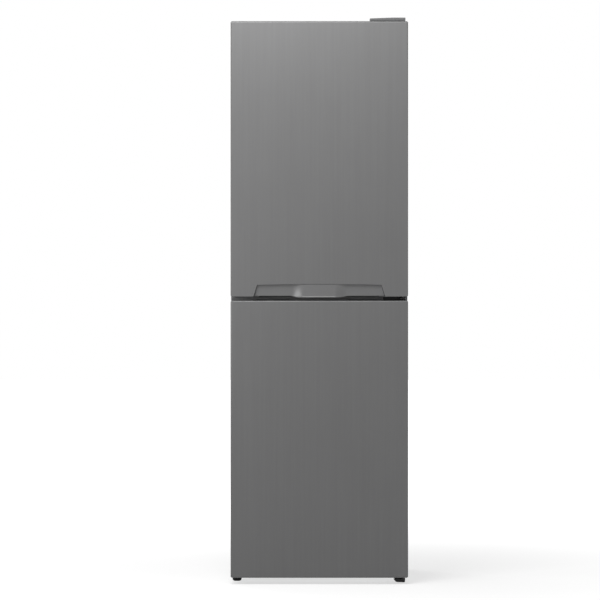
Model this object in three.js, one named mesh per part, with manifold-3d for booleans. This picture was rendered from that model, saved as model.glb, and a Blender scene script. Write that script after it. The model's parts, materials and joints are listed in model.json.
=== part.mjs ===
// A free-standing fridge-freezer, 545 mm wide: refrigerator above, freezer below, two flat steel
// doors hinged on the right, a grip moulded into the lower edge of the upper door.
// Millimetres, +Z up. The origin is on the floor under the middle of the appliance; the doors face -Y.

import * as THREE from "three";
import { mergeVertices } from "three/addons/utils/BufferGeometryUtils.js";
import Module from "manifold-3d";

const wasm = await Module();
wasm.setup();

// ---------------------------------------------------------------- driving dimensions

// Outside
const cabinetWidth = 545;
const cabinetDepth = 505; // front frame to rear sheet
const doorThickness = 52; // steel tray of a door, front to back
const gasketSpace = 10; // back of the door tray to the cabinet's front frame
const gripProud = 3; // the middle of the grip stands this far in front of the door
const wallSpace = 30; // rear sheet to the wall, filled by the condenser
const floorGap = 20; // floor to the lower door
const lowerDoorHeight = 851;
const upperDoorHeight = 846;
const doorGap = 12; // between the two doors
const cabinetFloor = 34; // underside of the cabinet above the floor
const doorAboveTop = 4; // the upper door stands this far above the cabinet's top

// Sheet, mouldings and clearances
const sheet = 0.8;
const linerWall = 2;
const bend = 1.2; // bend radius of the cabinet's sheets, to the middle of the sheet
const fit = 0.3; // between pieces that touch
const binWall = 2.5;

// Insulation
const fridgeSideWall = 45.5;
const freezerSideWall = 60;
const fridgeBackWall = 50;
const freezerBackWall = 65;
const topWall = 48;
const freezerFloorWall = 61;
const compartmentWall = 50; // between the freezer and the compressor's compartment

// Front frame and gaskets
const gasketInset = 18; // door edge to gasket
const gasketWidth = 14;
const frameFlange = 34; // steel return round the cabinet's front
const rearFlange = 15; // and its back
const rimLap = 8; // liner rim tucked behind that return
const strikeMargin = 1; // steel past the gasket on the middle rail
const spaceMargin = 3; // middle rail to the compartment

// Compressor compartment
const compartmentDepth = 170;
const compartmentHeight = 226;

// Hinge line, measured from the door's hinge edge and front face
const pivotInset = 17;
const pivotDepth = 26;
const pinRadius = 4;
const bushRadius = 4.6;
const bossRadius = 9;
const pinReach = 14; // pin inside the door
const bossDepth = 20;
const hingeSteel = 3;
const coverWidth = 109; // moulded cover over the top hinge
const coverHeight = 12; // its top above the upper door
const coverFall = 3; // its top falls this much towards the middle of the appliance
const coverSlope = 70; // over this length
const coverSetback = 8; // behind the door's front, and in from its side
const coverWall = 2;

// Door tray and end caps
const trayEdge = 4; // rounding of the tray's front edges
const trayCorner = 5.5; // corner of the tray seen from the front
const trayLip = 12; // steel turned back along the top and bottom edges
const trayReturn = 14; // steel turned in behind
const capPlate = 3;
const capSkirt = 12;
const dish = 8; // inner panel pressed into the door

// Grip in the lower edge of the upper door
const gripHeight = 36;
const gripArch = 2.5; // its upper edge rises this much in the middle
const gripFoot = 202.5; // half width at the lower edge
const gripHead = 191; // half width at the upper edge
const gripLap = 3; // border tucked behind the steel
const gripWall = 3;
const gripRecessTop = 9;
const gripRecessFoot = 2;
const gripMiddle = 52; // half width of the flush middle
const gripBlend = 108; // the recess is full from here outwards
const gripDrop = 2; // the middle hangs this far below the door
const gripRise = 3; // the sides stop this far above the door's edge
const pocketHalf = 185;
const pocketDepth = 23;
const pocketHeight = 32;
const pocketWall = 2;

// Freezer drawers and evaporator shelves
const drawerSetback = 28; // cabinet front to drawer front
const drawerHalf = 200;
const drawerHeight = 155;
const drawerDepth = 398;
const lowDrawerHeight = 200;
const lowDrawerDepth = 250;
const shelfPitch = 174;
const coilRadius = 4;
const coilWire = 2;
const coilRuns = 5;
const coilWires = 5;

// Refrigerator fittings
const glass = 4;
const glassSetback = 118; // cabinet front to the glass
const glassDepth = 316;
const ribReach = 12;
const ribRoot = 18; // height where a rib leaves the wall
const ribNose = 14; // height at its edge
const ribSetback = 60;
const shelfShare = 0.252; // shelf spacing, as a share of the height over the crisper
const crisperHeight = 180;
const crisperHalf = 204;
const crisperDepth = 312;
const rackReach = 100;
const ridgeTaper = 4;
const ridgeReach = 30; // ridge of the door's inner panel, behind the door tray
const ridgeWidth = 24;
const ridgeGap = 8; // ridge to the compartment's wall
const ridgeHead = 7; // its upper run is that much wider: the lamp's button runs on it
const lugReach = 6;
const lugDepth = 18;
const lugHeight = 12;

// Condenser
const tubeRadius = 2.5;
const wireSize = 1.6;
const condenserHalf = 205;
const condenserFoot = 340;
const condenserHead = 1490;
const condenserRuns = 8;
const condenserWires = 7;

// Feet and rollers
const footRadius = 14;
const studRadius = 4;
const rollerRadius = 14;
const rollerWidth = 20;
const axleRadius = 3;

// ---------------------------------------------------------------- places worked out from them

const overallDepth = gripProud + doorThickness + gasketSpace + cabinetDepth + wallSpace;
const halfWidth = cabinetWidth / 2;
const backY = overallDepth / 2;
const doorFrontY = gripProud - overallDepth / 2;
const doorBackY = doorFrontY + doorThickness;
const frontY = doorBackY + gasketSpace;
const rearY = frontY + cabinetDepth;

const lowerDoorZ = floorGap;
const upperDoorZ = lowerDoorZ + lowerDoorHeight + doorGap;
const upperDoorTop = upperDoorZ + upperDoorHeight;
const cabinetTop = upperDoorTop - doorAboveTop;
const railZ = upperDoorZ - doorGap / 2;
const railHalf = doorGap / 2 + gasketInset + gasketWidth + strikeMargin;

const fridgeHalf = halfWidth - fridgeSideWall;
const fridgeFloor = railZ + railHalf + spaceMargin;
const fridgeTop = cabinetTop - topWall;
const fridgeBack = rearY - fridgeBackWall;
const freezerHalf = halfWidth - freezerSideWall;
const freezerFloor = cabinetFloor + freezerFloorWall;
const freezerTop = railZ - railHalf - spaceMargin;
const freezerBack = rearY - freezerBackWall;

const compartmentY = rearY - compartmentDepth;
const compartmentTop = cabinetFloor + compartmentHeight;
const stepY = compartmentY - compartmentWall;
const stepZ = compartmentTop + compartmentWall;

const rackHalf = fridgeHalf - ridgeGap - ridgeWidth - ridgeTaper - lugReach - 3;

const pivotX = halfWidth - pivotInset;
const pivotY = doorFrontY + pivotDepth;
const linerY = frontY + sheet + fit; // front of the liners' rims, behind the steel return
const innerHalf = halfWidth - sheet - fit; // inside of the side sheets

// ---------------------------------------------------------------- finishes

const finish = (color, roughness, metalness, opacity = 1) =>
  new THREE.MeshStandardMaterial({ color, roughness, metalness, opacity, transparent: opacity < 1 });

const doorSteel = finish(0x77797a, 0.38, 0.85);
const gripPlastic = finish(0x7d7f80, 0.4, 0.5);
const capPlastic = finish(0x6c6e70, 0.5, 0.1);
const sideSteel = finish(0x8a8c8e, 0.45, 0.4);
const zincSteel = finish(0xa9adb0, 0.4, 0.8);
const blackPaint = finish(0x141415, 0.5, 0.2);
const hingePlastic = finish(0x5a5c5e, 0.5, 0.1);
const whitePlastic = finish(0xeeeff0, 0.4, 0);
const grayRubber = finish(0x9a9c9d, 0.7, 0);
const foamYellow = finish(0xe3d6a8, 0.9, 0);
const clearPlastic = finish(0xdfe8ee, 0.15, 0, 0.45);
const frostPlastic = finish(0xe6eef4, 0.35, 0, 0.8);
const shelfGlass = finish(0xcfe3df, 0.05, 0, 0.35);
const whiteSteel = finish(0xe4e6e6, 0.4, 0.1);
const copper = finish(0xb4683c, 0.3, 0.9);
const blackPlastic = finish(0x101011, 0.6, 0);

// ---------------------------------------------------------------- shapes and solids

// A geometry as a closed solid, whichever way its faces were wound.
function solid(geometry) {
  const bare = geometry.clone();
  bare.deleteAttribute("normal");
  bare.deleteAttribute("uv");
  const merged = mergeVertices(bare, 1e-4);
  const index = new Uint32Array(merged.index.array);
  const vertProperties = new Float32Array(merged.attributes.position.array);
  const made = new wasm.Manifold(new wasm.Mesh({ numProp: 3, vertProperties, triVerts: index }));
  if (made.volume() > 0) return made;
  for (let i = 0; i < index.length; i += 3) [index[i + 1], index[i + 2]] = [index[i + 2], index[i + 1]];
  return new wasm.Manifold(new wasm.Mesh({ numProp: 3, vertProperties, triVerts: index }));
}

const join = (first, ...rest) => rest.reduce((whole, piece) => whole.add(piece), first);
const cut = (first, ...rest) => rest.reduce((whole, piece) => whole.subtract(piece), first);

const ordered = (a, b) => [Math.min(a, b), Math.max(a, b)];

// A named mesh from a solid.
function piece(name, made, material) {
  const { numVert, numProp, vertProperties, triVerts } = made.getMesh();
  const position = new Float32Array(numVert * 3);
  for (let i = 0; i < numVert; i++) {
    position.set(vertProperties.subarray(i * numProp, i * numProp + 3), i * 3);
  }
  const geometry = new THREE.BufferGeometry();
  geometry.setAttribute("position", new THREE.BufferAttribute(position, 3));
  geometry.setIndex(new THREE.BufferAttribute(new Uint32Array(triVerts), 1));
  geometry.computeVertexNormals();
  const mesh = new THREE.Mesh(geometry, material);
  mesh.name = name;
  return mesh;
}

function slab(x0, x1, y0, y1, z0, z1) {
  const box = new THREE.BoxGeometry(x1 - x0, y1 - y0, z1 - z0);
  return solid(box.translate((x0 + x1) / 2, (y0 + y1) / 2, (z0 + z1) / 2));
}

// An outline of [u, v] points pushed along one axis; u and v are the other two axes in order.
function extrude(points, axis, from, to) {
  const shape = new THREE.Shape(points.map(([u, v]) => new THREE.Vector2(u, v)));
  const made = new THREE.ExtrudeGeometry(shape, { depth: to - from, bevelEnabled: false, steps: 1 });
  if (axis === "x") made.rotateZ(Math.PI / 2).rotateY(Math.PI / 2).translate(from, 0, 0);
  if (axis === "y") made.rotateX(Math.PI / 2).translate(0, to, 0);
  if (axis === "z") made.translate(0, 0, from);
  return solid(made);
}

// A path's corners rounded to a radius, each by a few points. Works in two or three dimensions.
function rounded(points, radius, steps = 3) {
  const vectors = points.map((p) => new THREE.Vector3(...p, ...(p.length === 2 ? [0] : [])));
  const out = [];
  vectors.forEach((corner, i) => {
    if (i === 0 || i === vectors.length - 1) return out.push(corner);
    const back = vectors[i - 1].clone().sub(corner).normalize();
    const on = vectors[i + 1].clone().sub(corner).normalize();
    const half = back.angleTo(on) / 2;
    if (half > Math.PI / 2 - 1e-3) return out.push(corner);
    const middle = back.clone().add(on).normalize();
    const centre = corner.clone().addScaledVector(middle, radius / Math.sin(half));
    const start = corner.clone().addScaledVector(back, radius / Math.tan(half)).sub(centre);
    const end = corner.clone().addScaledVector(on, radius / Math.tan(half)).sub(centre);
    const turn = start.angleTo(end);
    for (let k = 0; k <= steps; k++) {
      const a = (k / steps) * turn;
      const arm = start.clone().multiplyScalar(Math.sin(turn - a) / Math.sin(turn));
      arm.addScaledVector(end, Math.sin(a) / Math.sin(turn));
      out.push(centre.clone().add(arm));
    }
  });
  return out;
}

// The outline of bent sheet: a path of [u, v] corners along the middle of its thickness.
function strip(points, thickness, bend, steps = 2) {
  const line = rounded(points, bend, steps);
  const side = (sign) =>
    line.map((p, i) => {
      const before = p.clone().sub(line[Math.max(i - 1, 0)]).normalize();
      const after = line[Math.min(i + 1, line.length - 1)].clone().sub(p).normalize();
      const way = before.clone().add(after).normalize();
      const shortening = before.lengthSq() && after.lengthSq() ? way.dot(after) : 1;
      const reach = (sign * thickness) / 2 / shortening;
      return [p.x - way.y * reach, p.y + way.x * reach];
    });
  return [...side(1), ...side(-1).reverse()];
}

// A rounded rectangle as [u, v] points.
function roundedRectangle(u0, u1, v0, v1, radius, steps = 3) {
  const out = [];
  const [left, right, low, high] = [u0 + radius, u1 - radius, v0 + radius, v1 - radius];
  [[right, high], [left, high], [left, low], [right, low]].forEach(([u, v], q) => {
    for (let k = 0; k <= steps; k++) {
      const a = ((q + k / steps) * Math.PI) / 2;
      out.push([u + radius * Math.cos(a), v + radius * Math.sin(a)]);
    }
  });
  return out;
}

// A solid from its corner points and the index of its triangles.
function skin(points, index) {
  const geometry = new THREE.BufferGeometry();
  const position = points.flatMap((p) => [p.x, p.y, p.z]);
  geometry.setAttribute("position", new THREE.Float32BufferAttribute(position, 3));
  geometry.setIndex(index);
  return solid(geometry);
}

// A closed skin over rings of points with the same count; each end is closed by a fan.
function loft(rings) {
  const count = rings[0].length;
  const index = [];
  for (let r = 0; r + 1 < rings.length; r++) {
    for (let i = 0; i < count; i++) {
      const [a, b] = [r * count + i, r * count + ((i + 1) % count)];
      index.push(a, b, a + count, b, b + count, a + count);
    }
  }
  for (const [start, turn] of [[0, 1], [(rings.length - 1) * count, -1]]) {
    for (let i = 1; i + 1 < count; i++) {
      index.push(start, ...(turn > 0 ? [start + i + 1, start + i] : [start + i, start + i + 1]));
    }
  }
  return skin(rings.flat(), index);
}

// Rings for loft(): a rounded rectangle lying at a height, or standing at a depth.
const lying = (points, z) => points.map(([x, y]) => new THREE.Vector3(x, y, z));
const standing = (points, y) => points.map(([x, z]) => new THREE.Vector3(x, y, z));

// A round or many-sided bar along a path of points, with a flat facet up and down.
function bar(path, radius, sides) {
  const way = path.map((p, i) => {
    const before = i ? p.clone().sub(path[i - 1]).normalize() : null;
    const after = i + 1 < path.length ? path[i + 1].clone().sub(p).normalize() : null;
    return (before || new THREE.Vector3()).clone().add(after || new THREE.Vector3()).normalize();
  });
  let across = new THREE.Vector3(0, 0, 1).cross(way[0]);
  if (across.lengthSq() < 1e-6) across = new THREE.Vector3(1, 0, 0);
  const rings = path.map((p, i) => {
    across.addScaledVector(way[i], -across.dot(way[i])).normalize();
    const up = way[i].clone().cross(across);
    const ring = [];
    for (let k = 0; k < sides; k++) {
      const a = ((k + 0.5) / sides) * 2 * Math.PI;
      const [u, v] = [radius * Math.cos(a), radius * Math.sin(a)];
      ring.push(p.clone().addScaledVector(across, u).addScaledVector(up, v));
    }
    return ring;
  });
  return loft(rings);
}

// A turned solid: [radius, height] points from the axis to the axis, turned about +Z.
function turned(profile, sides) {
  const points = profile.map(([r, h]) => new THREE.Vector2(r, h));
  return solid(new THREE.LatheGeometry(points, sides).rotateX(Math.PI / 2));
}

// An upright round post or hole.
function post(x, y, z0, z1, radius, sides = 16) {
  return turned([[0, z0], [radius, z0], [radius, z1], [0, z1]], sides).translate([x, y, 0]);
}

// ---------------------------------------------------------------- cabinet: sheets, foam and liners

function sidePanel(name, side) {
  const [out, back, front] = [halfWidth - sheet / 2, rearY - sheet / 2, frontY + sheet / 2];
  const path = [[halfWidth - frameFlange, front], [out, front], [out, back], [halfWidth - rearFlange, back]];
  const outline = strip(path.map(([x, y]) => [side * x, y]), sheet, bend);
  return piece(name, extrude(outline, "z", cabinetFloor, cabinetTop), sideSteel);
}

// The corners of a sheet's flanges are cut away where the side sheets' returns stand.
function notches(made, z0, z1) {
  const [past, reach] = [halfWidth + 5, sheet + fit];
  const [front, rear] = [halfWidth - frameFlange - fit, halfWidth - rearFlange - fit];
  for (const side of [-1, 1]) {
    made = cut(made, slab(...ordered(front * side, past * side), frontY - 1, frontY + reach, z0, z1));
    made = cut(made, slab(...ordered(rear * side, past * side), rearY - reach, rearY + 1, z0, z1));
  }
  return made;
}

function topPanel() {
  const [front, back, top] = [frontY + sheet / 2, rearY - sheet / 2, cabinetTop - sheet / 2];
  const path = [[front, cabinetTop - frameFlange], [front, top], [back, top], [back, cabinetTop - rearFlange]];
  const bent = extrude(strip(path, sheet, bend), "x", -innerHalf, innerHalf);
  return piece("top_panel", notches(bent, cabinetTop - 60, cabinetTop + 5), sideSteel);
}

function basePan() {
  const [front, floor, back] = [frontY + sheet / 2, cabinetFloor + sheet / 2, rearY - sheet - fit];
  const [step, roof] = [compartmentY, compartmentTop];
  const path = [[front, cabinetFloor + frameFlange], [front, floor], [step, floor], [step, roof], [back, roof]];
  const bent = extrude(strip(path, sheet, bend), "x", -innerHalf, innerHalf);
  const studs = feet.map((at) => post(...at, cabinetFloor - 9, cabinetFloor + 9, studHole, 12));
  const drain = post(drainX, drainY, compartmentTop - 9, compartmentTop + 9, drainRadius + 1, 12);
  return piece("base_pan", cut(notches(bent, 0, compartmentTop - 40), drain, ...studs), zincSteel);
}

function rearPanel() {
  const outline = roundedRectangle(-halfWidth + 11, halfWidth - 11, compartmentTop + 2, cabinetTop - 8, 6, 2);
  let made = extrude(outline, "y", rearY + fit, rearY + fit + sheet);
  const bead = [[-9, 0], [9, 0], [5, 2.2], [-5, 2.2]];
  for (const x of [-150, -75, 0, 75, 150]) {
    const points = bead.map(([u, v]) => [x + u, rearY + fit + sheet / 2 + v]);
    made = join(made, extrude(points, "z", compartmentTop + 110, cabinetTop - 90));
  }
  return piece("rear_panel", made, zincSteel);
}

// Air space of a compartment, with square-cornered mouth in front. grow moves every wall outwards,
// so the same function gives the liner's inside, its outside and the hole in the foam.
function room(half, z0, z1, back, corner, grow) {
  const ring = (y, inset) => {
    const g = grow - inset;
    return standing(roundedRectangle(-half - g, half + g, z0 - g, z1 + g, corner + g), y);
  };
  return loft([ring(frontY - 10, 0), ring(back + grow - 12, 0), ring(back + grow, 10)]);
}

// Ledges along both walls, taken out of the air space.
function ledges(half, back, heights, grow, setback) {
  const made = [];
  for (const z of heights) {
    for (const side of [-1, 1]) {
      const wall = half + grow;
      const [nose, root] = [z - ribNose + grow, z - ribRoot + grow];
      const points = [[wall + 1, root], [wall - ribReach, nose], [wall - ribReach, z - grow], [wall + 1, z - grow]];
      const outline = points.map(([u, v]) => [side * u, v]);
      made.push(extrude(outline, "y", frontY + setback + grow, back + grow + 1));
    }
  }
  return made;
}

const crisperCoverZ = fridgeFloor + crisperHeight + 22; // underside of the glass over the crisper
const shelfSpacing = (fridgeTop - crisperCoverZ) * shelfShare;
const glassHeights = [1, 2, 3].map((k) => crisperCoverZ + k * shelfSpacing);
const spareHeights = [1.5, 2.5].map((k) => crisperCoverZ + k * shelfSpacing);
const coilHeights = [0, 1, 2].map((k) => stepZ + fit + coilRadius + k * shelfPitch);

function fridgeRoom(grow) {
  const whole = room(fridgeHalf, fridgeFloor, fridgeTop, fridgeBack, 18, grow);
  const heights = [crisperCoverZ, ...glassHeights, ...spareHeights];
  return cut(whole, ...ledges(fridgeHalf, fridgeBack, heights, grow, ribSetback));
}

function freezerRoom(grow) {
  const whole = room(freezerHalf, freezerFloor, freezerTop, freezerBack, 16, grow);
  const step = slab(-400, 400, stepY + grow, rearY, 0, stepZ - grow);
  const underCoils = coilHeights.map((z) => z - coilRadius - fit);
  return cut(whole, step, ...ledges(freezerHalf, freezerBack, underCoils, grow, 40));
}

function liner(name, space, z0, z1) {
  const rimHalf = halfWidth - frameFlange + rimLap;
  const front = extrude(roundedRectangle(-rimHalf, rimHalf, z0, z1, 6, 2), "y", linerY, linerY + linerWall);
  const shell = cut(join(space(linerWall), front), space(0), slab(-400, 400, frontY - 60, linerY, 0, 2000));
  return piece(name, shell, whitePlastic);
}

// The drain leaves the refrigerator's floor at the back and runs down behind the freezer.
const drainX = -30;
const drainY = 238;
const drainRadius = 7;
const drainTopY = fridgeBack - 26;
const drainPath = rounded(
  [
    [drainX, drainTopY, fridgeFloor - linerWall - fit],
    [drainX, drainTopY, railZ + 4],
    [drainX, drainY, railZ - 18],
    [drainX, drainY, compartmentTop - 26],
  ],
  12,
  2,
);

function drainTube() {
  const bore = drainPath.map((p) => p.clone());
  bore[0].z += 1;
  bore[bore.length - 1].z -= 1;
  return piece("drain_tube", cut(bar(drainPath, drainRadius, 8), bar(bore, drainRadius - 2, 8)), grayRubber);
}

function cabinetFoam() {
  const [y0, y1] = [linerY + linerWall + fit, rearY - sheet - fit];
  const [z0, z1] = [cabinetFloor + sheet + fit, cabinetTop - sheet - fit];
  const plan = extrude(roundedRectangle(-innerHalf, innerHalf, y0, y1, 3, 1), "z", z0, z1);
  const profile = extrude(roundedRectangle(y0, y1, z0, z1, 3, 1), "x", -innerHalf, innerHalf);
  const whole = plan.intersect(profile);
  const skin = sheet / 2 + fit;
  const compartment = slab(-400, 400, compartmentY - skin, rearY + 5, 0, compartmentTop + skin);
  const gap = linerWall + fit;
  const drain = drainPath.map((p) => p.clone());
  drain[drain.length - 1].z -= 30;
  const tube = bar(drain, drainRadius + fit, 8);
  const bushes = feet.map((at) => post(...at, 0, studTop + 3, studHole + 3, 12));
  const made = cut(whole, compartment, fridgeRoom(gap), freezerRoom(gap), tube, ...bushes);
  return piece("cabinet_foam", made, foamYellow);
}

function middleRail() {
  const inner = halfWidth - frameFlange - fit;
  const strap = slab(-inner, inner, frontY, frontY + sheet, railZ - railHalf, railZ + railHalf);
  return piece("middle_rail", strap, sideSteel);
}

// ---------------------------------------------------------------- hinges, feet and rollers

function topHinge() {
  const low = cabinetTop + fit + hingeSteel / 2;
  const high = upperDoorTop + 2 + hingeSteel / 2;
  const path = [[frontY + 52, low], [frontY + 6, low], [frontY - 4, high], [pivotY - 12, high]];
  const plate = extrude(strip(path, hingeSteel, 3), "x", pivotX - 20, pivotX + 6);
  const [floor, top] = [cabinetTop + fit, cabinetTop + fit + hingeSteel];
  const tail = slab(pivotX - 78, pivotX + 6, frontY + 16, frontY + 52, floor, top);
  const pin = post(pivotX, pivotY, upperDoorTop - pinReach, high, pinRadius, 12);
  return piece("top_hinge", join(plate, tail, pin), zincSteel);
}

function topHingeCover() {
  const right = halfWidth - coverSetback;
  const left = right - coverWidth;
  const [floor, step, top] = [cabinetTop + fit, upperDoorTop + 1.5, upperDoorTop + coverHeight];
  const [front, back] = [doorFrontY + coverSetback, frontY + 58];
  // The side view; a wall is left between it and the same view drawn smaller.
  const side = (wall) => {
    const [y0, y1, y2, z] = [front + wall, frontY - 2 + wall, back - wall, top - wall];
    const [low, high] = wall ? [floor - 1, step - 1] : [floor, step];
    return [[y0, high], [y1, high], [y1, low], [y2, low], [y2, z - 5], [y2 - 8, z], [y0 + 7, z], [y0, z - 5]];
  };
  const above = (wall) => {
    const [z, far, high] = [top - wall, left + coverSlope, top + 5];
    return extrude([[left - 1, z - coverFall], [far, z], [far, high], [left - 1, high]], "y", front - 5, back + 5);
  };
  const shell = cut(extrude(side(0), "x", left, right), above(0));
  const inner = extrude(side(coverWall), "x", left + coverWall, right - coverWall);
  const inside = cut(inner, above(coverWall));
  const plateSlot = slab(pivotX - 21, pivotX + 7, frontY - 6, frontY + 1, floor - 1, step);
  return piece("top_hinge_cover", cut(shell, inside, plateSlot), hingePlastic);
}

// A plate with a round nose about the hinge line.
function hingeTongue(z0, z1, reach, rear) {
  const nose = [];
  for (let k = 0; k <= 8; k++) {
    const a = Math.PI + (k / 8) * Math.PI;
    nose.push([pivotX + reach * Math.cos(a), pivotY + reach * Math.sin(a)]);
  }
  return extrude([...nose, [pivotX + reach, rear], [pivotX - reach, rear]], "z", z0, z1);
}

function middleHinge() {
  const [z0, z1] = [railZ - hingeSteel / 2, railZ + hingeSteel / 2];
  const tongue = hingeTongue(z0, z1, 10, frontY - fit - 1);
  const foot = slab(pivotX - 58, pivotX + 10, frontY - fit - 2.5, frontY - fit, railZ - 14, railZ + 14);
  const pinFoot = lowerDoorZ + lowerDoorHeight - pinReach;
  const pin = post(pivotX, pivotY, pinFoot, upperDoorZ + pinReach, pinRadius, 12);
  return piece("middle_hinge", join(tongue, foot, pin), zincSteel);
}

const footZ = cabinetFloor - fit; // top of what is fixed under the cabinet
const studTop = cabinetFloor + 20;
const studHole = studRadius + fit + 0.2;
const rightFoot = [pivotX - 8, frontY + 30];
const leftFoot = [-halfWidth + 17.5, frontY + 67];
const feet = [leftFoot, rightFoot];

function bottomHinge() {
  const [low, high] = [lowerDoorZ - 6.5, footZ - hingeSteel / 2];
  const path = [[frontY + 70, high], [frontY + 2, high], [frontY + 2, low], [pivotY, low]];
  const plate = extrude(strip(path, hingeSteel, 3), "x", pivotX - 24, pivotX + 9);
  const tongue = hingeTongue(low - hingeSteel / 2, low + hingeSteel / 2, 9, pivotY + 12);
  const pin = post(pivotX, pivotY, low, lowerDoorZ + pinReach, pinRadius, 12);
  const [x0, x1, y] = [pivotX - 28, pivotX + 9, doorFrontY + 48];
  const skirt = extrude([[x0, low], [x0 + 11, 3], [x1 - 2, 2], [x1, 5], [x1, low]], "y", y, y + 2.5);
  const hole = post(...rightFoot, 20, 50, studHole, 12);
  return piece("bottom_hinge", cut(join(plate, tongue, pin, skirt), hole), blackPaint);
}

// A levelling foot: a moulded disc on a threaded stud. Its own origin is where it meets the floor.
function levellingFoot(name, [x, y]) {
  const r = footRadius;
  const top = studTop;
  const disc = [[0, 0], [r - 5, 0], [r - 1.5, 2], [r, 5], [r, 9], [r - 2, 11.5], [studRadius, 12]];
  const stud = [[studRadius, top - 1], [studRadius - 1, top], [0, top]];
  const foot = piece(name, turned([...disc, ...stud], 14), blackPlastic);
  foot.position.set(x, y, 0);
  return foot;
}

const rollerSides = 14;
const axleZ = rollerRadius * Math.cos(Math.PI / rollerSides); // a facet of the roller lies on the floor
const rollerX = halfWidth - 32;
const rollerY = rearY - 36;
const earGap = rollerWidth / 2 + 2;

// Cross member that carries the compressor, with ears and pins for the two rollers.
function compressorPlate() {
  const [y0, y1, z] = [compartmentY + 8, rearY - 5, cabinetFloor + 7];
  const channel = strip([[y0, z - 12], [y0, z], [y1, z], [y1, z - 12]], 2, 3);
  const bent = extrude(channel, "x", -innerHalf, innerHalf);
  let made = cut(bent, slab(-70, 10, y0 + 50, y0 + 100, 0, 100));
  for (const side of [-1, 1]) {
    for (const reach of [-earGap, earGap]) {
      const x = side * rollerX + reach;
      const ear = [[rollerY - 13, z], [rollerY - 7, 8], [rollerY + 7, 8], [rollerY + 13, z]];
      made = join(made, extrude(ear, "x", x - 1, x + 1));
    }
    const ends = [-earGap - 3, earGap + 3].map((u) => new THREE.Vector3(side * rollerX + u, rollerY, axleZ));
    made = join(made, bar(ends, axleRadius, 12));
  }
  return piece("compressor_plate", made, zincSteel);
}

// A roller on its own axis along X.
function roller(name, side) {
  const [r, w, bore] = [rollerRadius, rollerWidth / 2, axleRadius + 0.5];
  const half = [[r, w - 1], [r - 1, w], [r - 3, w], [r - 4, w - 2], [bore + 3, w - 2], [bore + 2, w], [bore, w]];
  const profile = [...half, ...half.map(([a, b]) => [a, -b]).reverse(), half[0]];
  const made = turned(profile, rollerSides).rotate([0, 90, 0]);
  const wheel = piece(name, made, blackPlastic);
  wheel.position.set(side * rollerX, rollerY, axleZ);
  return wheel;
}

// ---------------------------------------------------------------- doors

// A block with rounded front edges, its front at a depth: the outside or inside of a door tray.
function trayBlock(height, inset, depth) {
  const outline = (tuck) =>
    roundedRectangle(tuck - halfWidth, halfWidth - tuck, tuck, height - tuck, trayCorner - tuck, 2);
  const edge = trayEdge - inset;
  const rings = [0, 1, 2, 3].map((k) => {
    const a = (k / 3) * (Math.PI / 2);
    return standing(outline(inset + edge * (1 - Math.sin(a))), inset + edge * (1 - Math.cos(a)));
  });
  return loft([...rings, standing(outline(inset), depth)]);
}

// Sheet tray: rounded front, sides turned in behind, short lips along the top and the bottom.
function doorTray(name, height, mouth) {
  const inner = halfWidth - sheet;
  const tray = cut(trayBlock(height, 0, doorThickness), trayBlock(height, sheet, doorThickness - sheet));
  const half = halfWidth - trayReturn;
  const window = slab(-half, half, doorThickness - 3, doorThickness + 3, trayReturn, height - trayReturn);
  const topGap = slab(-inner, inner, trayLip, doorThickness - sheet, height - sheet - 0.1, height + 5);
  const footGap = slab(-inner, inner, trayLip, doorThickness - sheet, -5, sheet + 0.1);
  return piece(name, cut(tray, window, topGap, footGap, ...mouth), doorSteel);
}

// End cap in the cap's own frame: its outer face is z = 0 and it reaches down into the door.
// up is 1 for a top cap and -1 for one turned over at the bottom.
function endCap(name, height, up, cuts, adds) {
  const half = halfWidth - sheet - fit;
  const [y0, y1] = [trayLip + fit, doorThickness - sheet - fit];
  const r = trayCorner - sheet - fit;
  const corner = [];
  for (let k = 0; k <= 2; k++) {
    const a = (k / 2) * (Math.PI / 2);
    corner.push([half - r + r * Math.cos(a), r * Math.sin(a) - trayCorner]);
  }
  corner.push([half - r - fit, -sheet - fit], [half - r - fit, 0]);
  const mirrored = corner.map(([x, z]) => [-x, z]).reverse();
  const face = [[-half, -capSkirt], [half, -capSkirt], ...corner, ...mirrored];
  const hollow = slab(3 - half, half - 3, y0 + 2, y1 - 2, -capSkirt - 1, -capPlate);
  const block = cut(extrude(face, "y", y0, y1), hollow);
  const boss = post(pivotX, pivotDepth, -bossDepth, -1, bossRadius, 12);
  const bore = post(pivotX, pivotDepth, -bossDepth - 1, 1, bushRadius, 16);
  let made = cut(join(block, boss, ...adds), bore, ...cuts);
  if (up < 0) made = made.mirror([0, 0, 1]);
  const cap = piece(name, made, capPlastic);
  cap.position.z = up > 0 ? height : 0;
  return cap;
}

// Ridge round the door's inner panel, tapered on both sides. grow < 0 gives the hollow behind it.
function ridge({ outer, inner }, grow) {
  const [foot, head] = [doorThickness - 2, doorThickness + ridgeReach + grow];
  const frame = ([x, z0, z1], move, corner) => roundedRectangle(-x - move, x + move, z0 - move, z1 + move, corner, 2);
  const outside = loft([
    standing(frame(outer, grow, 8 + ridgeTaper), foot),
    standing(frame(outer, grow - ridgeTaper, 8), head),
  ]);
  const inside = loft([
    standing(frame(inner, -grow - ridgeTaper, 8), foot - 1),
    standing(frame(inner, -grow, 8 + ridgeTaper), head + 1),
  ]);
  return cut(outside, inside);
}

// Panel pressed into the door inside the ridge.
function dishBlock({ dishHalf: half, dishLow: z0, dishHigh: z1 }, grow) {
  const ring = (inset, y) => {
    const g = grow - inset;
    return standing(roundedRectangle(-half - g, half + g, z0 - g, z1 + g, 8, 2), y);
  };
  const bottom = doorThickness + fit - dish - grow;
  return loft([ring(0, doorThickness + 4), ring(0, doorThickness - 1), ring(4, bottom)]);
}

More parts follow.
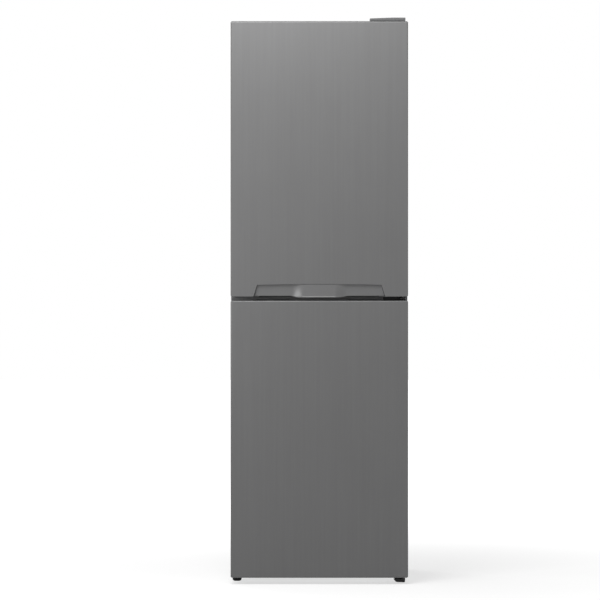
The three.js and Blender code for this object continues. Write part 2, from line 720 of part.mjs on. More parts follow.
// Inner panel of a door: flat rim, pressed middle and, on the refrigerator, a ridge with lugs for racks.
function doorLiner(name, height, space, lugs) {
  const y = doorThickness + fit;
  const rim = roundedRectangle(4 - halfWidth, halfWidth - 4, 4, height - 4, 5, 2);
  const tray = cut(dishBlock(space, linerWall), slab(-400, 400, y + linerWall, 400, -50, 3000));
  let made = join(extrude(rim, "y", y, y + linerWall), tray);
  if (space.outer) {
    const behind = slab(-400, 400, 0, y, -50, 3000);
    made = join(made, cut(ridge(space, 0), behind), ...lugs);
    made = cut(made, ridge(space, -linerWall));
  }
  return piece(name, cut(made, dishBlock(space, 0)), whitePlastic);
}

// Magnetic seal: a bellows section carried round a rectangle with mitred corners.
function doorGasket(name, height) {
  const [v0, v1] = [doorThickness + fit + linerWall + fit, doorThickness + gasketSpace - fit];
  const w = gasketWidth;
  const left = [[0, v1], [0.5, v0 + 3.6], [3.5, v0 + 2.2], [1, v0 + 1.2], [1, v0]];
  const section = [...left.map(([u, v]) => [w - u, v]).reverse(), ...left];
  const rings = [[-1, 0], [1, 0], [1, 1], [-1, 1]].map(([sx, top]) =>
    section.map(([u, y]) => {
      const inset = gasketInset + u;
      return new THREE.Vector3(sx * (halfWidth - inset), y, top ? height - inset : inset);
    }),
  );
  const count = section.length;
  const index = [];
  for (let r = 0; r < 4; r++) {
    for (let i = 0; i < count; i++) {
      const [a, b] = [r * count + i, r * count + ((i + 1) % count)];
      const [c, d] = [((r + 1) % 4) * count + i, ((r + 1) % 4) * count + ((i + 1) % count)];
      index.push(a, b, c, b, d, c);
    }
  }
  return piece(name, skin(rings.flat(), index), grayRubber);
}

function doorFoam(name, height, space, holes) {
  const inner = halfWidth - sheet - fit;
  const [z0, z1] = [capSkirt + fit, height - capSkirt - fit];
  const whole = slab(-inner, inner, sheet + fit, doorThickness - sheet - fit, z0, z1);
  let made = cut(whole, dishBlock(space, linerWall + fit));
  if (space.outer) {
    const front = slab(-400, 400, 0, doorThickness - 4, -50, 3000);
    made = join(made, cut(ridge(space, -linerWall - fit), front));
  }
  const reach = bossDepth + fit;
  const bosses = [[-1, reach], [height - reach, height + 1]].map((span) =>
    post(pivotX, pivotDepth, ...span, bossRadius + fit, 12),
  );
  const insideTray = trayBlock(height, sheet + fit, 200);
  return piece(name, cut(made.intersect(insideTray), ...bosses, ...holes), foamYellow);
}

// ---------------------------------------------------------------- grip of the upper door

const smooth = (from, to, x) => {
  const t = Math.min(1, Math.max(0, (x - from) / (to - from)));
  return t * t * (3 - 2 * t);
};

// The sculpted trim: sunk at both sides, flush and slightly proud in the middle.
// across runs -1 to 1 along the grip and up runs 0 to 1 from its lower edge.
function gripPoint(across, up) {
  const half = gripFoot + gripLap + (gripHead - gripFoot) * up;
  const x = across * half;
  const middle = 1 - smooth(gripMiddle, gripBlend, Math.abs(x));
  const low = gripRise - (gripRise + gripDrop) * (1 - smooth(gripMiddle + 6, gripBlend - 14, Math.abs(x)));
  const high = gripHeight + gripLap + gripArch * (1 - (x / gripHead) ** 2);
  const border = smooth(2.4, 8.4, (high - low) * (1 - up)) * smooth(2.5, 7.5, half - Math.abs(x));
  const sunk = (gripRecessFoot + (gripRecessTop - gripRecessFoot) * up) * (1 - middle);
  const proud = gripProud * middle * (1 - up);
  const edge = sheet + fit;
  return new THREE.Vector3(x, edge + (sunk - proud - edge) * border, low + (high - low) * up);
}

function gripTrim() {
  const columns = [-1, -0.985, -0.97, -0.9, -0.75, -0.6, -0.53, -0.47, -0.41, -0.35, -0.3, -0.25, -0.12];
  const across = [...columns, 0, ...columns.map((u) => -u).reverse()];
  const rows = [0, 0.3, 0.6, 0.82, 0.92, 1];
  const front = rows.map((v) => across.map((u) => gripPoint(u, v)));
  const back = front.map((row) => row.map((p) => p.clone().add(new THREE.Vector3(0, gripWall, 0))));
  const wide = across.length;
  const behind = rows.length * wide;
  const index = [];
  const quad = (a, b, c, d) => index.push(a, b, c, a, c, d);
  for (let r = 0; r + 1 < rows.length; r++) {
    for (let i = 0; i + 1 < wide; i++) {
      const a = r * wide + i;
      quad(a, a + 1, a + wide + 1, a + wide);
      quad(behind + a, behind + a + wide, behind + a + wide + 1, behind + a + 1);
    }
    const [l, m] = [r * wide, r * wide + wide - 1];
    quad(l, l + wide, behind + l + wide, behind + l);
    quad(m, behind + m, behind + m + wide, m + wide);
  }
  for (let i = 0; i + 1 < wide; i++) {
    const top = (rows.length - 1) * wide + i;
    quad(i, behind + i, behind + i + 1, i + 1);
    quad(top, top + 1, behind + top + 1, behind + top);
  }
  return piece("door_grip", skin([...front.flat(), ...back.flat()], index), gripPlastic);
}

// Opening in the steel for the grip, seen from the front.
function gripMouth() {
  const top = [];
  for (let k = -6; k <= 6; k++) {
    const x = (k / 6) * gripHead;
    top.push([-x, gripHeight + gripArch * (1 - (x / gripHead) ** 2)]);
  }
  return extrude([[-gripFoot - 1, -3], [gripFoot + 1, -3], ...top], "y", -5, trayLip + 1);
}

// Height of the wavy lip on the lower door's top cap: raised beside the grip, level in its middle.
function lipHeight(x) {
  const u = Math.abs(x);
  return 4 * smooth(gripMiddle + 6, gripBlend - 10, u) * (1 - smooth(gripFoot - 14, gripFoot + 2, u));
}

// ---------------------------------------------------------------- bins: drawers, crisper and racks

// A tapered bin with a flat front plate and a finger slot. Own frame: front face y = 0, bottom z = 0.
function drawer(name, half, depth, height, material) {
  const [taper, r, plateThick, lip] = [6, 14, 3.5, 8];
  const ring = (narrow, inset, z) => {
    const u = half - narrow - inset;
    return lying(roundedRectangle(-u, u, 1.5, depth + 3 - narrow - inset, r - inset / 2), z);
  };
  const inFront = (y) => slab(-half, half, -5, y, -5, height + 10);
  const outside = cut(loft([ring(taper, 0, 0), ring(3, 0, height - lip)]), inFront(1));
  const hollow = cut(loft([ring(taper, binWall, binWall), ring(3, binWall, height + 1)]), inFront(plateThick));
  const plate = extrude(roundedRectangle(-half, half, 0, height, 8, 2), "y", 0, plateThick);
  const slot = extrude(roundedRectangle(-62, 62, height - 44, height - 18, 12.9, 3), "y", -5, 20);
  return piece(name, cut(join(outside, plate), hollow, slot), material);
}

// A door rack. Own frame: y = 0 at the door side, z = 0 under its floor.
function doorRack(name, height, backHeight) {
  const outline = (inset) => {
    const [x, y0, y1, r] = [rackHalf - inset, inset, rackReach - inset, 16 - inset];
    const side = [[x, y0], [x, y1 - r], [x - r * 0.3, y1 - r * 0.3], [x - r, y1]];
    return [...side, ...side.map(([u, v]) => [-u, v]).reverse()];
  };
  let made = cut(extrude(outline(0), "z", 0, height), extrude(outline(binWall), "z", binWall, height + 5));
  made = cut(made, slab(4 - rackHalf, rackHalf - 4, -1, binWall + 0.1, backHeight, height + 5));
  // Each end hooks over a lug of the door: a pocket open below and outwards.
  const [wall, top] = [2, hookHeight];
  for (const side of [-1, 1]) {
    const at = (u0, u1, play, z0, z1) =>
      slab(...ordered(side * u0, side * u1), hookInset - play, hookInset + lugDepth + play, z0, z1);
    const hook = at(rackHalf - 1, rackHalf + lugReach + 1.5, fit + wall, top - lugHeight, top + wall);
    made = join(made, cut(hook, at(rackHalf, rackHalf + 20, fit, top - 50, top)));
  }
  return piece(name, made, clearPlastic);
}

const hookInset = 5; // rack's back to the lug
const hookHeight = 40; // rack's floor to the lug's top, with the fit

// ---------------------------------------------------------------- refrigerator fittings

function glassShelf(name, depth, z, thickness) {
  const pane = piece(name, slab(4 - fridgeHalf, fridgeHalf - 4, 3, depth, 0, thickness), shelfGlass);
  pane.position.set(0, frontY + glassSetback, z + fit);
  return pane;
}

// Channel clipped over the front edge of a pane.
function shelfTrim(name, z) {
  const [t, wall] = [glass, 2];
  const under = [[0, -6], [3, -6 - wall], [10, -6], [10, -wall], [12, -fit], [3 - fit, -fit]];
  const over = [[3 - fit, t + fit], [12, t + fit], [12, t + fit + wall], [1.5, t + fit + wall], [0, t]];
  const outline = [...under, ...over];
  const inner = fridgeHalf - ribReach - 1;
  const ends = [-1, 1].map((side) => slab(...ordered(side * inner, side * fridgeHalf), -1, 20, -20, 0));
  const made = piece(name, cut(extrude(outline, "x", 3 - fridgeHalf, fridgeHalf - 3), ...ends), gripPlastic);
  made.position.set(0, frontY + glassSetback, z + fit);
  return made;
}

const housingFront = frontY + ridgeReach - gasketSpace + 10;
const housingBack = housingFront + 140;
const housingHeight = 34;
const housingZ = fridgeTop - housingHeight;
const knobAt = [-62, housingFront + 55];

function controlHousing() {
  const [y0, y1, z0, z1] = [housingFront, housingBack, housingZ, fridgeTop - fit];
  const nose = [[y0 + 6, z1], [y0, z1 - 6], [y0, z0 + 8], [y0 + 8, z0]];
  const outline = [...nose, [y1 - 30, z0], [y1, z0 + 16], [y1, z1]];
  const body = extrude(outline, "x", -105, 105);
  const lampSeat = slab(-12, 92, y0 + 14, y1 - 34, z0 - 1, z0 + 22);
  const shaftHole = post(...knobAt, z0 - 1, z0 + 14, 4.6, 12);
  const buttonWell = buttonBar(y0 - 1, y0 + 20, 4.6);
  return piece("control_housing", cut(body, lampSeat, shaftHole, buttonWell), whitePlastic);
}

const buttonX = 80;
const buttonZ = housingZ + 14;

function buttonBar(y0, y1, radius) {
  return bar([new THREE.Vector3(buttonX, y0, buttonZ), new THREE.Vector3(buttonX, y1, buttonZ)], radius, 12);
}

// Plunger that the door's ridge holds pressed in while the door is shut.
function lightButton() {
  const touch = frontY - gasketSpace + ridgeReach + fit;
  return piece("light_button", buttonBar(touch, housingFront + 14, 4), whitePlastic);
}

function lampLens() {
  const [y0, y1] = [housingFront + 14 + fit, housingBack - 34 - fit];
  const [top, low, bottom] = [housingZ + 20, housingZ - 2, housingZ - 7];
  const outline = [[y0, top], [y0, low], [y0 + 8, bottom], [y1 - 8, bottom], [y1, low], [y1, top]];
  return piece("lamp_lens", extrude(outline, "x", -12 + fit, 92 - fit), frostPlastic);
}

// Temperature dial under the housing: a fluted disc with a pointer, on a shaft.
function thermostatKnob() {
  const rim = [];
  for (let k = 0; k < 36; k++) {
    const a = (k / 36) * 2 * Math.PI;
    const r = k % 3 ? 18 : 17.2;
    rim.push([r * Math.cos(a), r * Math.sin(a)]);
  }
  const disc = extrude(rim, "z", -11, -0.6);
  const grip = slab(-3.5, 3.5, -16, 15, -17, -10);
  const shaft = post(0, 0, -1, 12, 4, 12);
  const knob = piece("thermostat_knob", join(disc, grip, shaft), whitePlastic);
  knob.position.set(...knobAt, housingZ);
  return knob;
}

// ---------------------------------------------------------------- refrigerant circuit

// One shelf of the freezer's evaporator: a coiled tube with wires across it. Origin at the tube's axis.
function evaporatorShelf(name, z) {
  const [half, y0, y1] = [freezerHalf - 6, frontY + 48, freezerBack - 30];
  const pitch = (y1 - y0) / (coilRuns - 1);
  const corners = [];
  for (let k = 0; k < coilRuns; k++) {
    const side = k % 2 ? 1 : -1;
    corners.push([side * half, y0 + k * pitch, 0], [-side * half, y0 + k * pitch, 0]);
  }
  const end = corners[corners.length - 1];
  end[0] *= 1 - 30 / half;
  corners.push([end[0], freezerBack - 1, 0]);
  let made = bar(rounded(corners, 18, 2), coilRadius, 6);
  for (let k = 0; k < coilWires; k++) {
    const x = (half - 16) * ((2 * k) / (coilWires - 1) - 1);
    const low = coilRadius - 1;
    made = join(made, slab(x - coilWire / 2, x + coilWire / 2, y0 - 14, y1 + 14, low, low + coilWire));
  }
  const shelf = piece(name, made, whiteSteel);
  shelf.position.z = z;
  return shelf;
}

const tubeFlat = tubeRadius * Math.cos(Math.PI / 6); // the tube is drawn six-sided
const wireSink = 0.3; // welded wires sink this far into a tube
const condenserY = backY - wireSize + wireSink - tubeFlat;

// Wire-on-tube condenser with two mounting straps, and its lower end led to the compressor.
function condenser() {
  const pitch = (condenserHead - condenserFoot) / (condenserRuns - 1);
  const corners = [];
  for (let k = condenserRuns - 1; k >= 0; k--) {
    const side = k % 2 ? -1 : 1;
    const z = condenserFoot + k * pitch;
    corners.push([side * condenserHalf, condenserY, z], [-side * condenserHalf, condenserY, z]);
  }
  const end = corners[corners.length - 1];
  const [drop, inner] = [compartmentTop - 40, condenserY - dischargeBack];
  corners.push([end[0], condenserY, drop], [end[0] + 30, inner, drop], [end[0] + 30, inner, dischargeZ]);
  corners.push([compressorX - canHalf - stubReach, inner, dischargeZ]);
  let made = bar(rounded(corners, 20, 2), tubeRadius, 6);
  const flat = tubeFlat - wireSink;
  for (let k = 0; k < condenserWires; k++) {
    const x = (condenserHalf - 26) * ((2 * k) / (condenserWires - 1) - 1);
    const side = k % 2 ? -1 : 1;
    const across = ordered(condenserY + side * flat, condenserY + side * (flat + wireSize));
    made = join(made, slab(x - wireSize / 2, x + wireSize / 2, ...across, condenserFoot - 22, condenserHead + 22));
  }
  for (const side of [-1, 1]) {
    for (const z of [condenserFoot + pitch / 2, condenserHead - pitch / 2]) {
      const [on, off] = [rearY + 3 * fit + sheet + 0.75, condenserY - 1];
      const path = [[on, z - 14], [on, z + 2], [off, z + 8], [off, z + pitch / 2 + 6]];
      const x = side * (condenserHalf - 26);
      made = join(made, extrude(strip(path, 1.5, 2), "x", x - 7, x + 7));
    }
  }
  return piece("condenser", made, blackPaint);
}

const compressorX = -30;
const compressorY = compartmentY + 84;
const canHalf = 96;
const canDeep = 68;
const canFoot = cabinetFloor + 24;
const canTop = canFoot + 128;
const stubReach = 14;
const dischargeZ = canFoot + 52;
const dischargeBack = 90; // condenser to the compressor's outlet, front to back

// Hermetic can: elliptical, domed, with a weld flange, on a base plate that stands on four mounts.
function compressor() {
  const ring = (scale, z) => {
    const out = [];
    for (let k = 0; k < 18; k++) {
      const a = (k / 18) * 2 * Math.PI;
      out.push([canHalf * scale * Math.cos(a), canDeep * scale * Math.sin(a)]);
    }
    return lying(out, z);
  };
  const seam = canFoot + 72;
  const levels = [
    [0.6, canFoot], [0.86, canFoot + 8], [0.95, canFoot + 26], [0.96, seam], [1, seam + 0.5], [1, seam + 5],
    [0.95, seam + 5.5], [0.94, canTop - 30], [0.84, canTop - 12], [0.55, canTop],
  ];
  const can = loft(levels.map(([scale, z]) => ring(scale, z)));
  const outline = roundedRectangle(-canHalf - 12, canHalf + 12, -58, 58, 14, 2);
  const base = extrude(outline, "z", canFoot - 4, canFoot - 1);
  const waist = slab(-canHalf * 0.5, canHalf * 0.5, -30, 30, canFoot - 2, canFoot + 4);
  const mounts = [];
  const [foot, top] = [cabinetFloor + 8 + fit, canFoot - 3];
  for (const sx of [-1, 1]) {
    for (const sy of [-1, 1]) {
      const profile = [[0, foot], [9, foot], [9, foot + 4], [7, foot + 6], [7, top], [0, top]];
      mounts.push(turned(profile, 12).translate([sx * (canHalf - 2), sy * 44, 0]));
    }
  }
  const tube = (path, radius) => bar(rounded(path, 8, 2), radius, 8);
  const [x, z] = [canHalf * 0.3, canFoot + 96];
  const process = tube([[-x, canDeep * 0.6, z - 40], [-x, canDeep + 16, z - 40]], 3);
  const suction = tube([[x, canDeep * 0.6, z], [x, canDeep + 10, z], [x, canDeep + 10, canTop + 2]], 4);
  const dischargeY = condenserY - dischargeBack - compressorY;
  const outlet = [-canHalf * 0.7, fit - canHalf - stubReach].map((u) => [u, dischargeY, dischargeZ]);
  const discharge = tube(outlet, 3);
  const whole = join(can, base, waist, ...mounts, process, suction, discharge);
  const made = piece("compressor", whole, blackPaint);
  made.position.set(compressorX, compressorY, 0);
  return made;
}

function terminalBox() {
  const [x0, z0] = [compressorX + canHalf + fit + 0.5, canFoot + 22];
  const outline = roundedRectangle(compressorY - 32, compressorY + 30, z0, z0 + 66, 8, 2);
  const body = extrude(outline, "x", x0, x0 + 38);
  const cable = post(x0 + 24, compressorY + 12, z0 - 10, z0 + 10, 7, 12);
  const bore = post(x0 + 24, compressorY + 12, z0 - 12, z0 + 4, 4, 12);
  return piece("terminal_box", cut(join(body, cable), bore), blackPlastic);
}

// Water from the drain evaporates in a tray on the warm compressor.
function evaporationTray() {
  const z = canTop + fit;
  const ring = (grow, h) => lying(roundedRectangle(-92 - grow, 92 + grow, -58 - grow, 58 + grow, 14, 2), h);
  const made = cut(loft([ring(-4, z), ring(2, z + 26)]), loft([ring(-6, z + 2), ring(0, z + 27)]));
  const tray = piece("evaporation_tray", made, blackPlastic);
  tray.position.set(compressorX, compressorY - 4, 0);
  return tray;
}

function suctionPipe() {
  const [x, y, z] = [compressorX + canHalf * 0.3, compressorY + canDeep + 10, canTop + 2 + fit];
  const path = [[x, y, z], [x, y, z + 12], [x + 96, y, z + 26], [x + 96, y, compartmentTop - sheet - fit]];
  return piece("suction_pipe", bar(rounded(path, 8, 2), 4, 8), copper);
}

// Filter drier: a spun copper cartridge between condenser and capillary.
function filterDrier() {
  const [x, y, z] = [150, compressorY + 52, compartmentTop - 150];
  const roof = compartmentTop - sheet - fit;
  const cartridge = [[3, z - 6], [9, z + 4], [9, z + 84], [3, z + 96]];
  const profile = [[0, z - 24], [3, z - 24], ...cartridge, [2, z + 104], [2, roof], [0, roof]];
  const drier = piece("filter_drier", turned(profile, 14), copper);
  drier.position.set(x, y, 0);
  return drier;
}

// ---------------------------------------------------------------- assembly

// The ridge stands inside the refrigerator's mouth; the panel is pressed inwards inside the ridge.
function ridgeSpace() {
  const outer = [fridgeHalf - ridgeGap, fridgeFloor + ridgeGap - upperDoorZ, fridgeTop - ridgeGap - upperDoorZ];
  const inset = ([x, z0, z1], w) => [x - w, z0 + w, z1 - w - ridgeHead];
  const [dishHalf, dishLow, dishHigh] = inset(outer, ridgeWidth + 6);
  return { outer, inner: inset(outer, ridgeWidth), dishHalf, dishLow, dishHigh };
}

const fridgeDoorSpace = ridgeSpace();
const freezerDoorSpace = {
  dishHalf: drawerHalf + 6,
  dishLow: freezerFloor - lowerDoorZ,
  dishHigh: freezerTop - lowerDoorZ - 2,
};

// Floors of the three racks above the door's lower edge: the bottle rack is lowest.
const [, innerLow, innerHigh] = fridgeDoorSpace.inner;
const rackFloors = [0.009, 0.382, 0.716].map((share) => innerLow + share * (innerHigh - innerLow));

function rackLugs() {
  const made = [];
  const x = fridgeDoorSpace.inner[0];
  const y = doorThickness + fit + linerWall + fit + hookInset;
  for (const floor of rackFloors) {
    const top = floor + hookHeight - fit;
    for (const side of [-1, 1]) {
      const along = ordered(side * (rackHalf + 1.2), side * (x + 0.5));
      made.push(slab(...along, y, y + lugDepth, top - lugHeight, top));
    }
  }
  return made;
}

function fridgeDoor() {
  const height = upperDoorHeight;
  const [front, back] = [trayLip + 1, trayLip + 1 + pocketDepth];
  const [outside, borderHalf] = [pocketHalf + pocketWall, gripFoot + gripLap + 2];
  const pocket = slab(-outside, outside, trayLip + fit, back + pocketWall, -pocketHeight - pocketWall, -0.5);
  const fingers = slab(-pocketHalf, pocketHalf, 0, back, -pocketHeight, 5);
  const behindGrip = slab(-gripFoot - 3, gripFoot + 3, 0, front, -gripHeight - 8, 5);
  const borderTop = gripHeight + gripArch + gripLap + 2;
  const zone = slab(-borderHalf, borderHalf, 0, back + pocketWall + fit, -5, borderTop);
  const group = new THREE.Group();
  group.add(doorTray("fridge_door_tray", height, [gripMouth()]));
  group.add(endCap("fridge_door_top_cap", height, 1, [], []));
  group.add(endCap("fridge_door_bottom_cap", height, -1, [fingers, behindGrip], [pocket]));
  group.add(doorFoam("fridge_door_foam", height, fridgeDoorSpace, [zone]));
  group.add(doorLiner("fridge_door_liner", height, fridgeDoorSpace, rackLugs()));
  group.add(doorGasket("fridge_door_gasket", height));
  group.add(gripTrim());
  const rackY = doorThickness + fit + linerWall + fit;
  [["bottle_rack", 92, 50], ["middle_rack", 66, 50], ["top_rack", 66, 50]].forEach(([name, high, low], i) => {
    const rack = doorRack(name, high, low);
    rack.position.set(0, rackY, rackFloors[i]);
    group.add(rack);
  });
  group.position.set(0, doorFrontY, upperDoorZ);
  return group;
}

function freezerDoor() {
  const height = lowerDoorHeight;
  const [front, back, deep] = [trayLip + 8, trayLip + 34, 24];
  const [w, outside] = [pocketWall, pocketHalf + pocketWall];
  const trough = slab(-outside, outside, front - w, back + w, -deep - w, -0.5);
  const fingers = slab(-pocketHalf, pocketHalf, front, back, -deep, 5);
  const wave = [];
  for (let k = -24; k <= 24; k++) {
    const x = (k / 24) * (gripFoot + 4);
    wave.push([x, lipHeight(x) + 0.01]);
  }
  const lip = extrude([[gripFoot + 4, -2], [-gripFoot - 4, -2], ...wave], "y", trayLip + fit, front - w + 0.5);
  const far = outside + fit;
  const zone = slab(-far, far, front - w - fit, back + w + fit, height - deep - w - fit, height + 5);
  const group = new THREE.Group();
  group.add(doorTray("freezer_door_tray", height, []));
  group.add(endCap("freezer_door_top_cap", height, 1, [fingers], [trough, lip]));
  group.add(endCap("freezer_door_bottom_cap", height, -1, [], []));
  group.add(doorFoam("freezer_door_foam", height, freezerDoorSpace, [zone]));
  group.add(doorLiner("freezer_door_liner", height, freezerDoorSpace, []));
  group.add(doorGasket("freezer_door_gasket", height));
  group.position.set(0, doorFrontY, lowerDoorZ);
  return group;
}

function cabinet() {
  const group = new THREE.Group();
  const rimTop = railZ + railHalf - rimLap;
  const rimFoot = railZ - railHalf + rimLap;
  group.add(sidePanel("side_panel_left", -1), sidePanel("side_panel_right", 1));
  group.add(topPanel(), basePan(), rearPanel(), cabinetFoam(), middleRail(), drainTube());
  group.add(liner("fridge_liner", fridgeLinerSpace, rimTop, cabinetTop - frameFlange + rimLap));
  group.add(liner("freezer_liner", freezerRoom, cabinetFloor + frameFlange - rimLap, rimFoot));
  group.add(topHinge(), topHingeCover(), middleHinge(), bottomHinge());
  group.add(levellingFoot("front_foot_left", leftFoot), levellingFoot("front_foot_right", rightFoot));
  group.add(compressorPlate(), roller("roller_left", -1), roller("roller_right", 1));
  group.add(compressor(), terminalBox(), evaporationTray(), suctionPipe(), filterDrier(), condenser());
  return group;
}

// The refrigerator's air space with the drain hole through its floor.
function fridgeLinerSpace(grow) {
  const space = fridgeRoom(grow);
  const drain = post(drainX, drainTopY, fridgeFloor - 9, fridgeFloor + 2, drainRadius - 2, 10);
  return grow ? space : join(space, drain);
}

function fridgeFittings() {
  const group = new THREE.Group();
  glassHeights.forEach((z, i) => {
    group.add(glassShelf(`glass_shelf_${i + 1}`, glassDepth, z, glass), shelfTrim(`shelf_trim_${i + 1}`, z));
  });
  group.add(glassShelf("crisper_cover", glassDepth, crisperCoverZ, glass));
  const crisper = drawer("crisper_drawer", crisperHalf, crisperDepth, crisperHeight, clearPlastic);
  crisper.position.set(0, frontY + glassSetback, fridgeFloor + 2);
  group.add(crisper, controlHousing(), lampLens(), thermostatKnob(), lightButton());
  return group;
}

function freezerFittings() {
  const group = new THREE.Group();
  coilHeights.forEach((z, i) => group.add(evaporatorShelf(`evaporator_shelf_${i + 1}`, z)));
  const low = drawer("freezer_drawer_1", drawerHalf, lowDrawerDepth, lowDrawerHeight, frostPlastic);
  low.position.set(0, frontY + drawerSetback, freezerFloor + 2);
  group.add(low);
  coilHeights.forEach((z, i) => {
    const box = drawer(`freezer_drawer_${i + 2}`, drawerHalf, drawerDepth, drawerHeight, frostPlastic);
    box.position.set(0, frontY + drawerSetback, z + coilRadius + coilWire + fit);
    group.add(box);
  });
  return group;
}

const appliance = new THREE.Group();
appliance.name = "fridge_freezer";
appliance.add(cabinet(), fridgeFittings(), freezerFittings(), fridgeDoor(), freezerDoor());

export default appliance;
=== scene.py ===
# %% [markdown]
# # A bottom freezer refrigerator: the looks
#
# The object is a tall, slim fridge-freezer with two flat steel doors, a wave-shaped grip in the lower
# edge of the upper door and a small moulded cover over the top hinge. Its sizes, its separate pieces and
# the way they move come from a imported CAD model, which is loaded here as a fixed frame. This lesson adds
# what the eye wants: finer surfaces where the CAD is coarse, small fittings, and a procedural finish for
# every piece. Pieces are worked out in millimetres, which become metres when a mesh is made; finishes,
# camera, lamps and floor are in metres from the start.

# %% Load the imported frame
import json
import math

import bmesh
import bpy
import numpy as np
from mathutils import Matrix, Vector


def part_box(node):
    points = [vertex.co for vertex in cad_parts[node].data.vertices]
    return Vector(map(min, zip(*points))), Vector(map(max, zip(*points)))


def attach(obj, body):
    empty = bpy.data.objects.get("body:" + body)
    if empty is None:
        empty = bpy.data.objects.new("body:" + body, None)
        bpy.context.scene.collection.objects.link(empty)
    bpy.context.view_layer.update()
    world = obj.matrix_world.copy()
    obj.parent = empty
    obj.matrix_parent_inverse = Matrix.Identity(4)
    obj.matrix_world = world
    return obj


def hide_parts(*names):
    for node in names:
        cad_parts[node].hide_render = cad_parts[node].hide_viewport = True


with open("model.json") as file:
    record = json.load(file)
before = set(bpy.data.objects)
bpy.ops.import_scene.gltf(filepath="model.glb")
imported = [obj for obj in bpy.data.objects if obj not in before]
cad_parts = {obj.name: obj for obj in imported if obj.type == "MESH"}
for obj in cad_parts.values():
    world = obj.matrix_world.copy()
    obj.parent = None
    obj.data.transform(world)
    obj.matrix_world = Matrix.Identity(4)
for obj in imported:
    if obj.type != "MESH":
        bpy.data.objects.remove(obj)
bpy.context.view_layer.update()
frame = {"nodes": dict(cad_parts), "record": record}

node_body = {n: b for b, members in frame["record"]["behaviour"]["bodies"].items() for n in members}

# %% [markdown]
# ## Surfaces from grids
#
# Almost every made part is one of a few surfaces: a ring of points carried along a path, a profile turned
# about an axis, or a flat outline pushed through a thickness. Each can be written as a function of two
# parameters on a grid, so the points come out as one array and the faces as another, without visiting
# the points one by one. A surface here is a pair: points, and a list of face arrays.

# %% Grids, skins and outward faces
MM = 0.001  # a millimetre in metres


def quads(rows, columns, closed=False):
    """Four corner numbers for every square between rings; closed joins the last ring to the first."""
    i = np.arange(rows if closed else rows - 1)[:, None]
    j = np.arange(columns)
    right, up = (j + 1) % columns, (i + 1) % rows
    corners = i * columns + j, i * columns + right, up * columns + right, up * columns + j
    return np.stack(corners, -1).reshape(-1, 4)


def outward(points, faces):
    """The same surface with its faces turned outwards: the sum of the signed pyramids must be positive."""
    total = 0.0
    for f in faces:
        a = points[f[:, 0]]
        for k in range(1, f.shape[1] - 1):
            total += np.einsum("ij,ij->i", a, np.cross(points[f[:, k]], points[f[:, k + 1]])).sum()
    return points, [f if total > 0 else f[:, ::-1] for f in faces]


def skin(rings):
    """A closed surface over a stack of rings: squares between neighbours, one flat face over each end."""
    rings = np.asarray(rings, float)
    rows, columns, _ = rings.shape
    ends = [np.arange(columns)[None, ::-1], np.arange((rows - 1) * columns, rows * columns)[None, :]]
    return outward(rings.reshape(-1, 3), [quads(rows, columns), *ends])


def loop_skin(rings):
    """A closed surface over rings that come back to the first one."""
    rings = np.asarray(rings, float)
    return outward(rings.reshape(-1, 3), [quads(*rings.shape[:2], closed=True)])


def repeated(part, places):
    """The same surface at one or many places at once: its points plus each place."""
    points, faces = part
    places = np.asarray(places, float)
    first = np.arange(len(places))[:, None, None] * len(points)
    joined = [(f[None] + first).reshape(-1, f.shape[1]) for f in faces]
    return (points[None] + places[:, None]).reshape(-1, 3), joined


# %% [markdown]
# ## Paths, tubes and turned parts
#
# Bent tubes and wires are circles carried along a path; the path's corners are rounded to the bend radius
# first, as a tube bender does. Turned parts are a profile carried round an axis. A moulded block is the
# sum of a small box and a ball: every point is the box's corner on that side plus a radius in its direction.

# %% Directions and rounded corners
SKEW = (0.31, 0.52, 0.79)  # a direction that no tube or wire here runs along
STRAIGHT = 1e-3  # a corner that turns by less than twice this angle is left alone
ORDER = {"x": [2, 0, 1], "y": [1, 2, 0], "z": [0, 1, 2]}


def unit(vectors):
    """The same directions with a length of 1."""
    return vectors / np.linalg.norm(vectors, axis=-1, keepdims=True)


def turns(count):
    """Equal steps of angle round a full turn."""
    return np.arange(count) / count * 2 * np.pi


def about(axis, u, v, w):
    """Points from two coordinates across an axis and one along it."""
    return np.stack(np.broadcast_arrays(u, v, w), -1)[..., ORDER[axis]]


def rounded(corners, radius, steps=6):
    """A path whose corners become arcs: each point is the arc's centre plus a turning arm of that radius."""
    p = np.asarray(corners, float)
    out = [p[:1]]
    for before, corner, after in zip(p[:-2], p[1:-1], p[2:]):
        back, on = unit(before - corner), unit(after - corner)
        half = np.arccos(np.clip(back @ on, -1, 1)) / 2
        if half > math.pi / 2 - STRAIGHT:
            out.append(corner[None])
            continue
        centre = corner + unit(back + on) * radius / math.sin(half)
        start, end = [corner + v * radius / math.tan(half) - centre for v in (back, on)]
        turn = math.pi - 2 * half
        a = np.linspace(0, turn, steps + 1)[:, None]
        out.append(centre + (start * np.sin(turn - a) + end * np.sin(a)) / math.sin(turn))
    return np.concatenate([*out, p[-1:]])


# %% Tubes, wires and turned parts
def arms(along, sides):
    """Unit arms in a full turn at right angles to each direction: cos a x across + sin a x up."""
    along = unit(along)
    across = unit(np.cross(along, SKEW))
    a = turns(sides)[:, None]
    return np.cos(a) * across[:, None] + np.sin(a) * np.cross(across, along)[:, None]


def tube(path, radius, sides):
    """A circle carried along a path: path + radius x arm. The radius is one number, or one for each point."""
    path = np.asarray(path, float)
    return skin(path[:, None] + np.reshape(radius, (-1, 1, 1)) * arms(np.gradient(path, axis=0), sides))


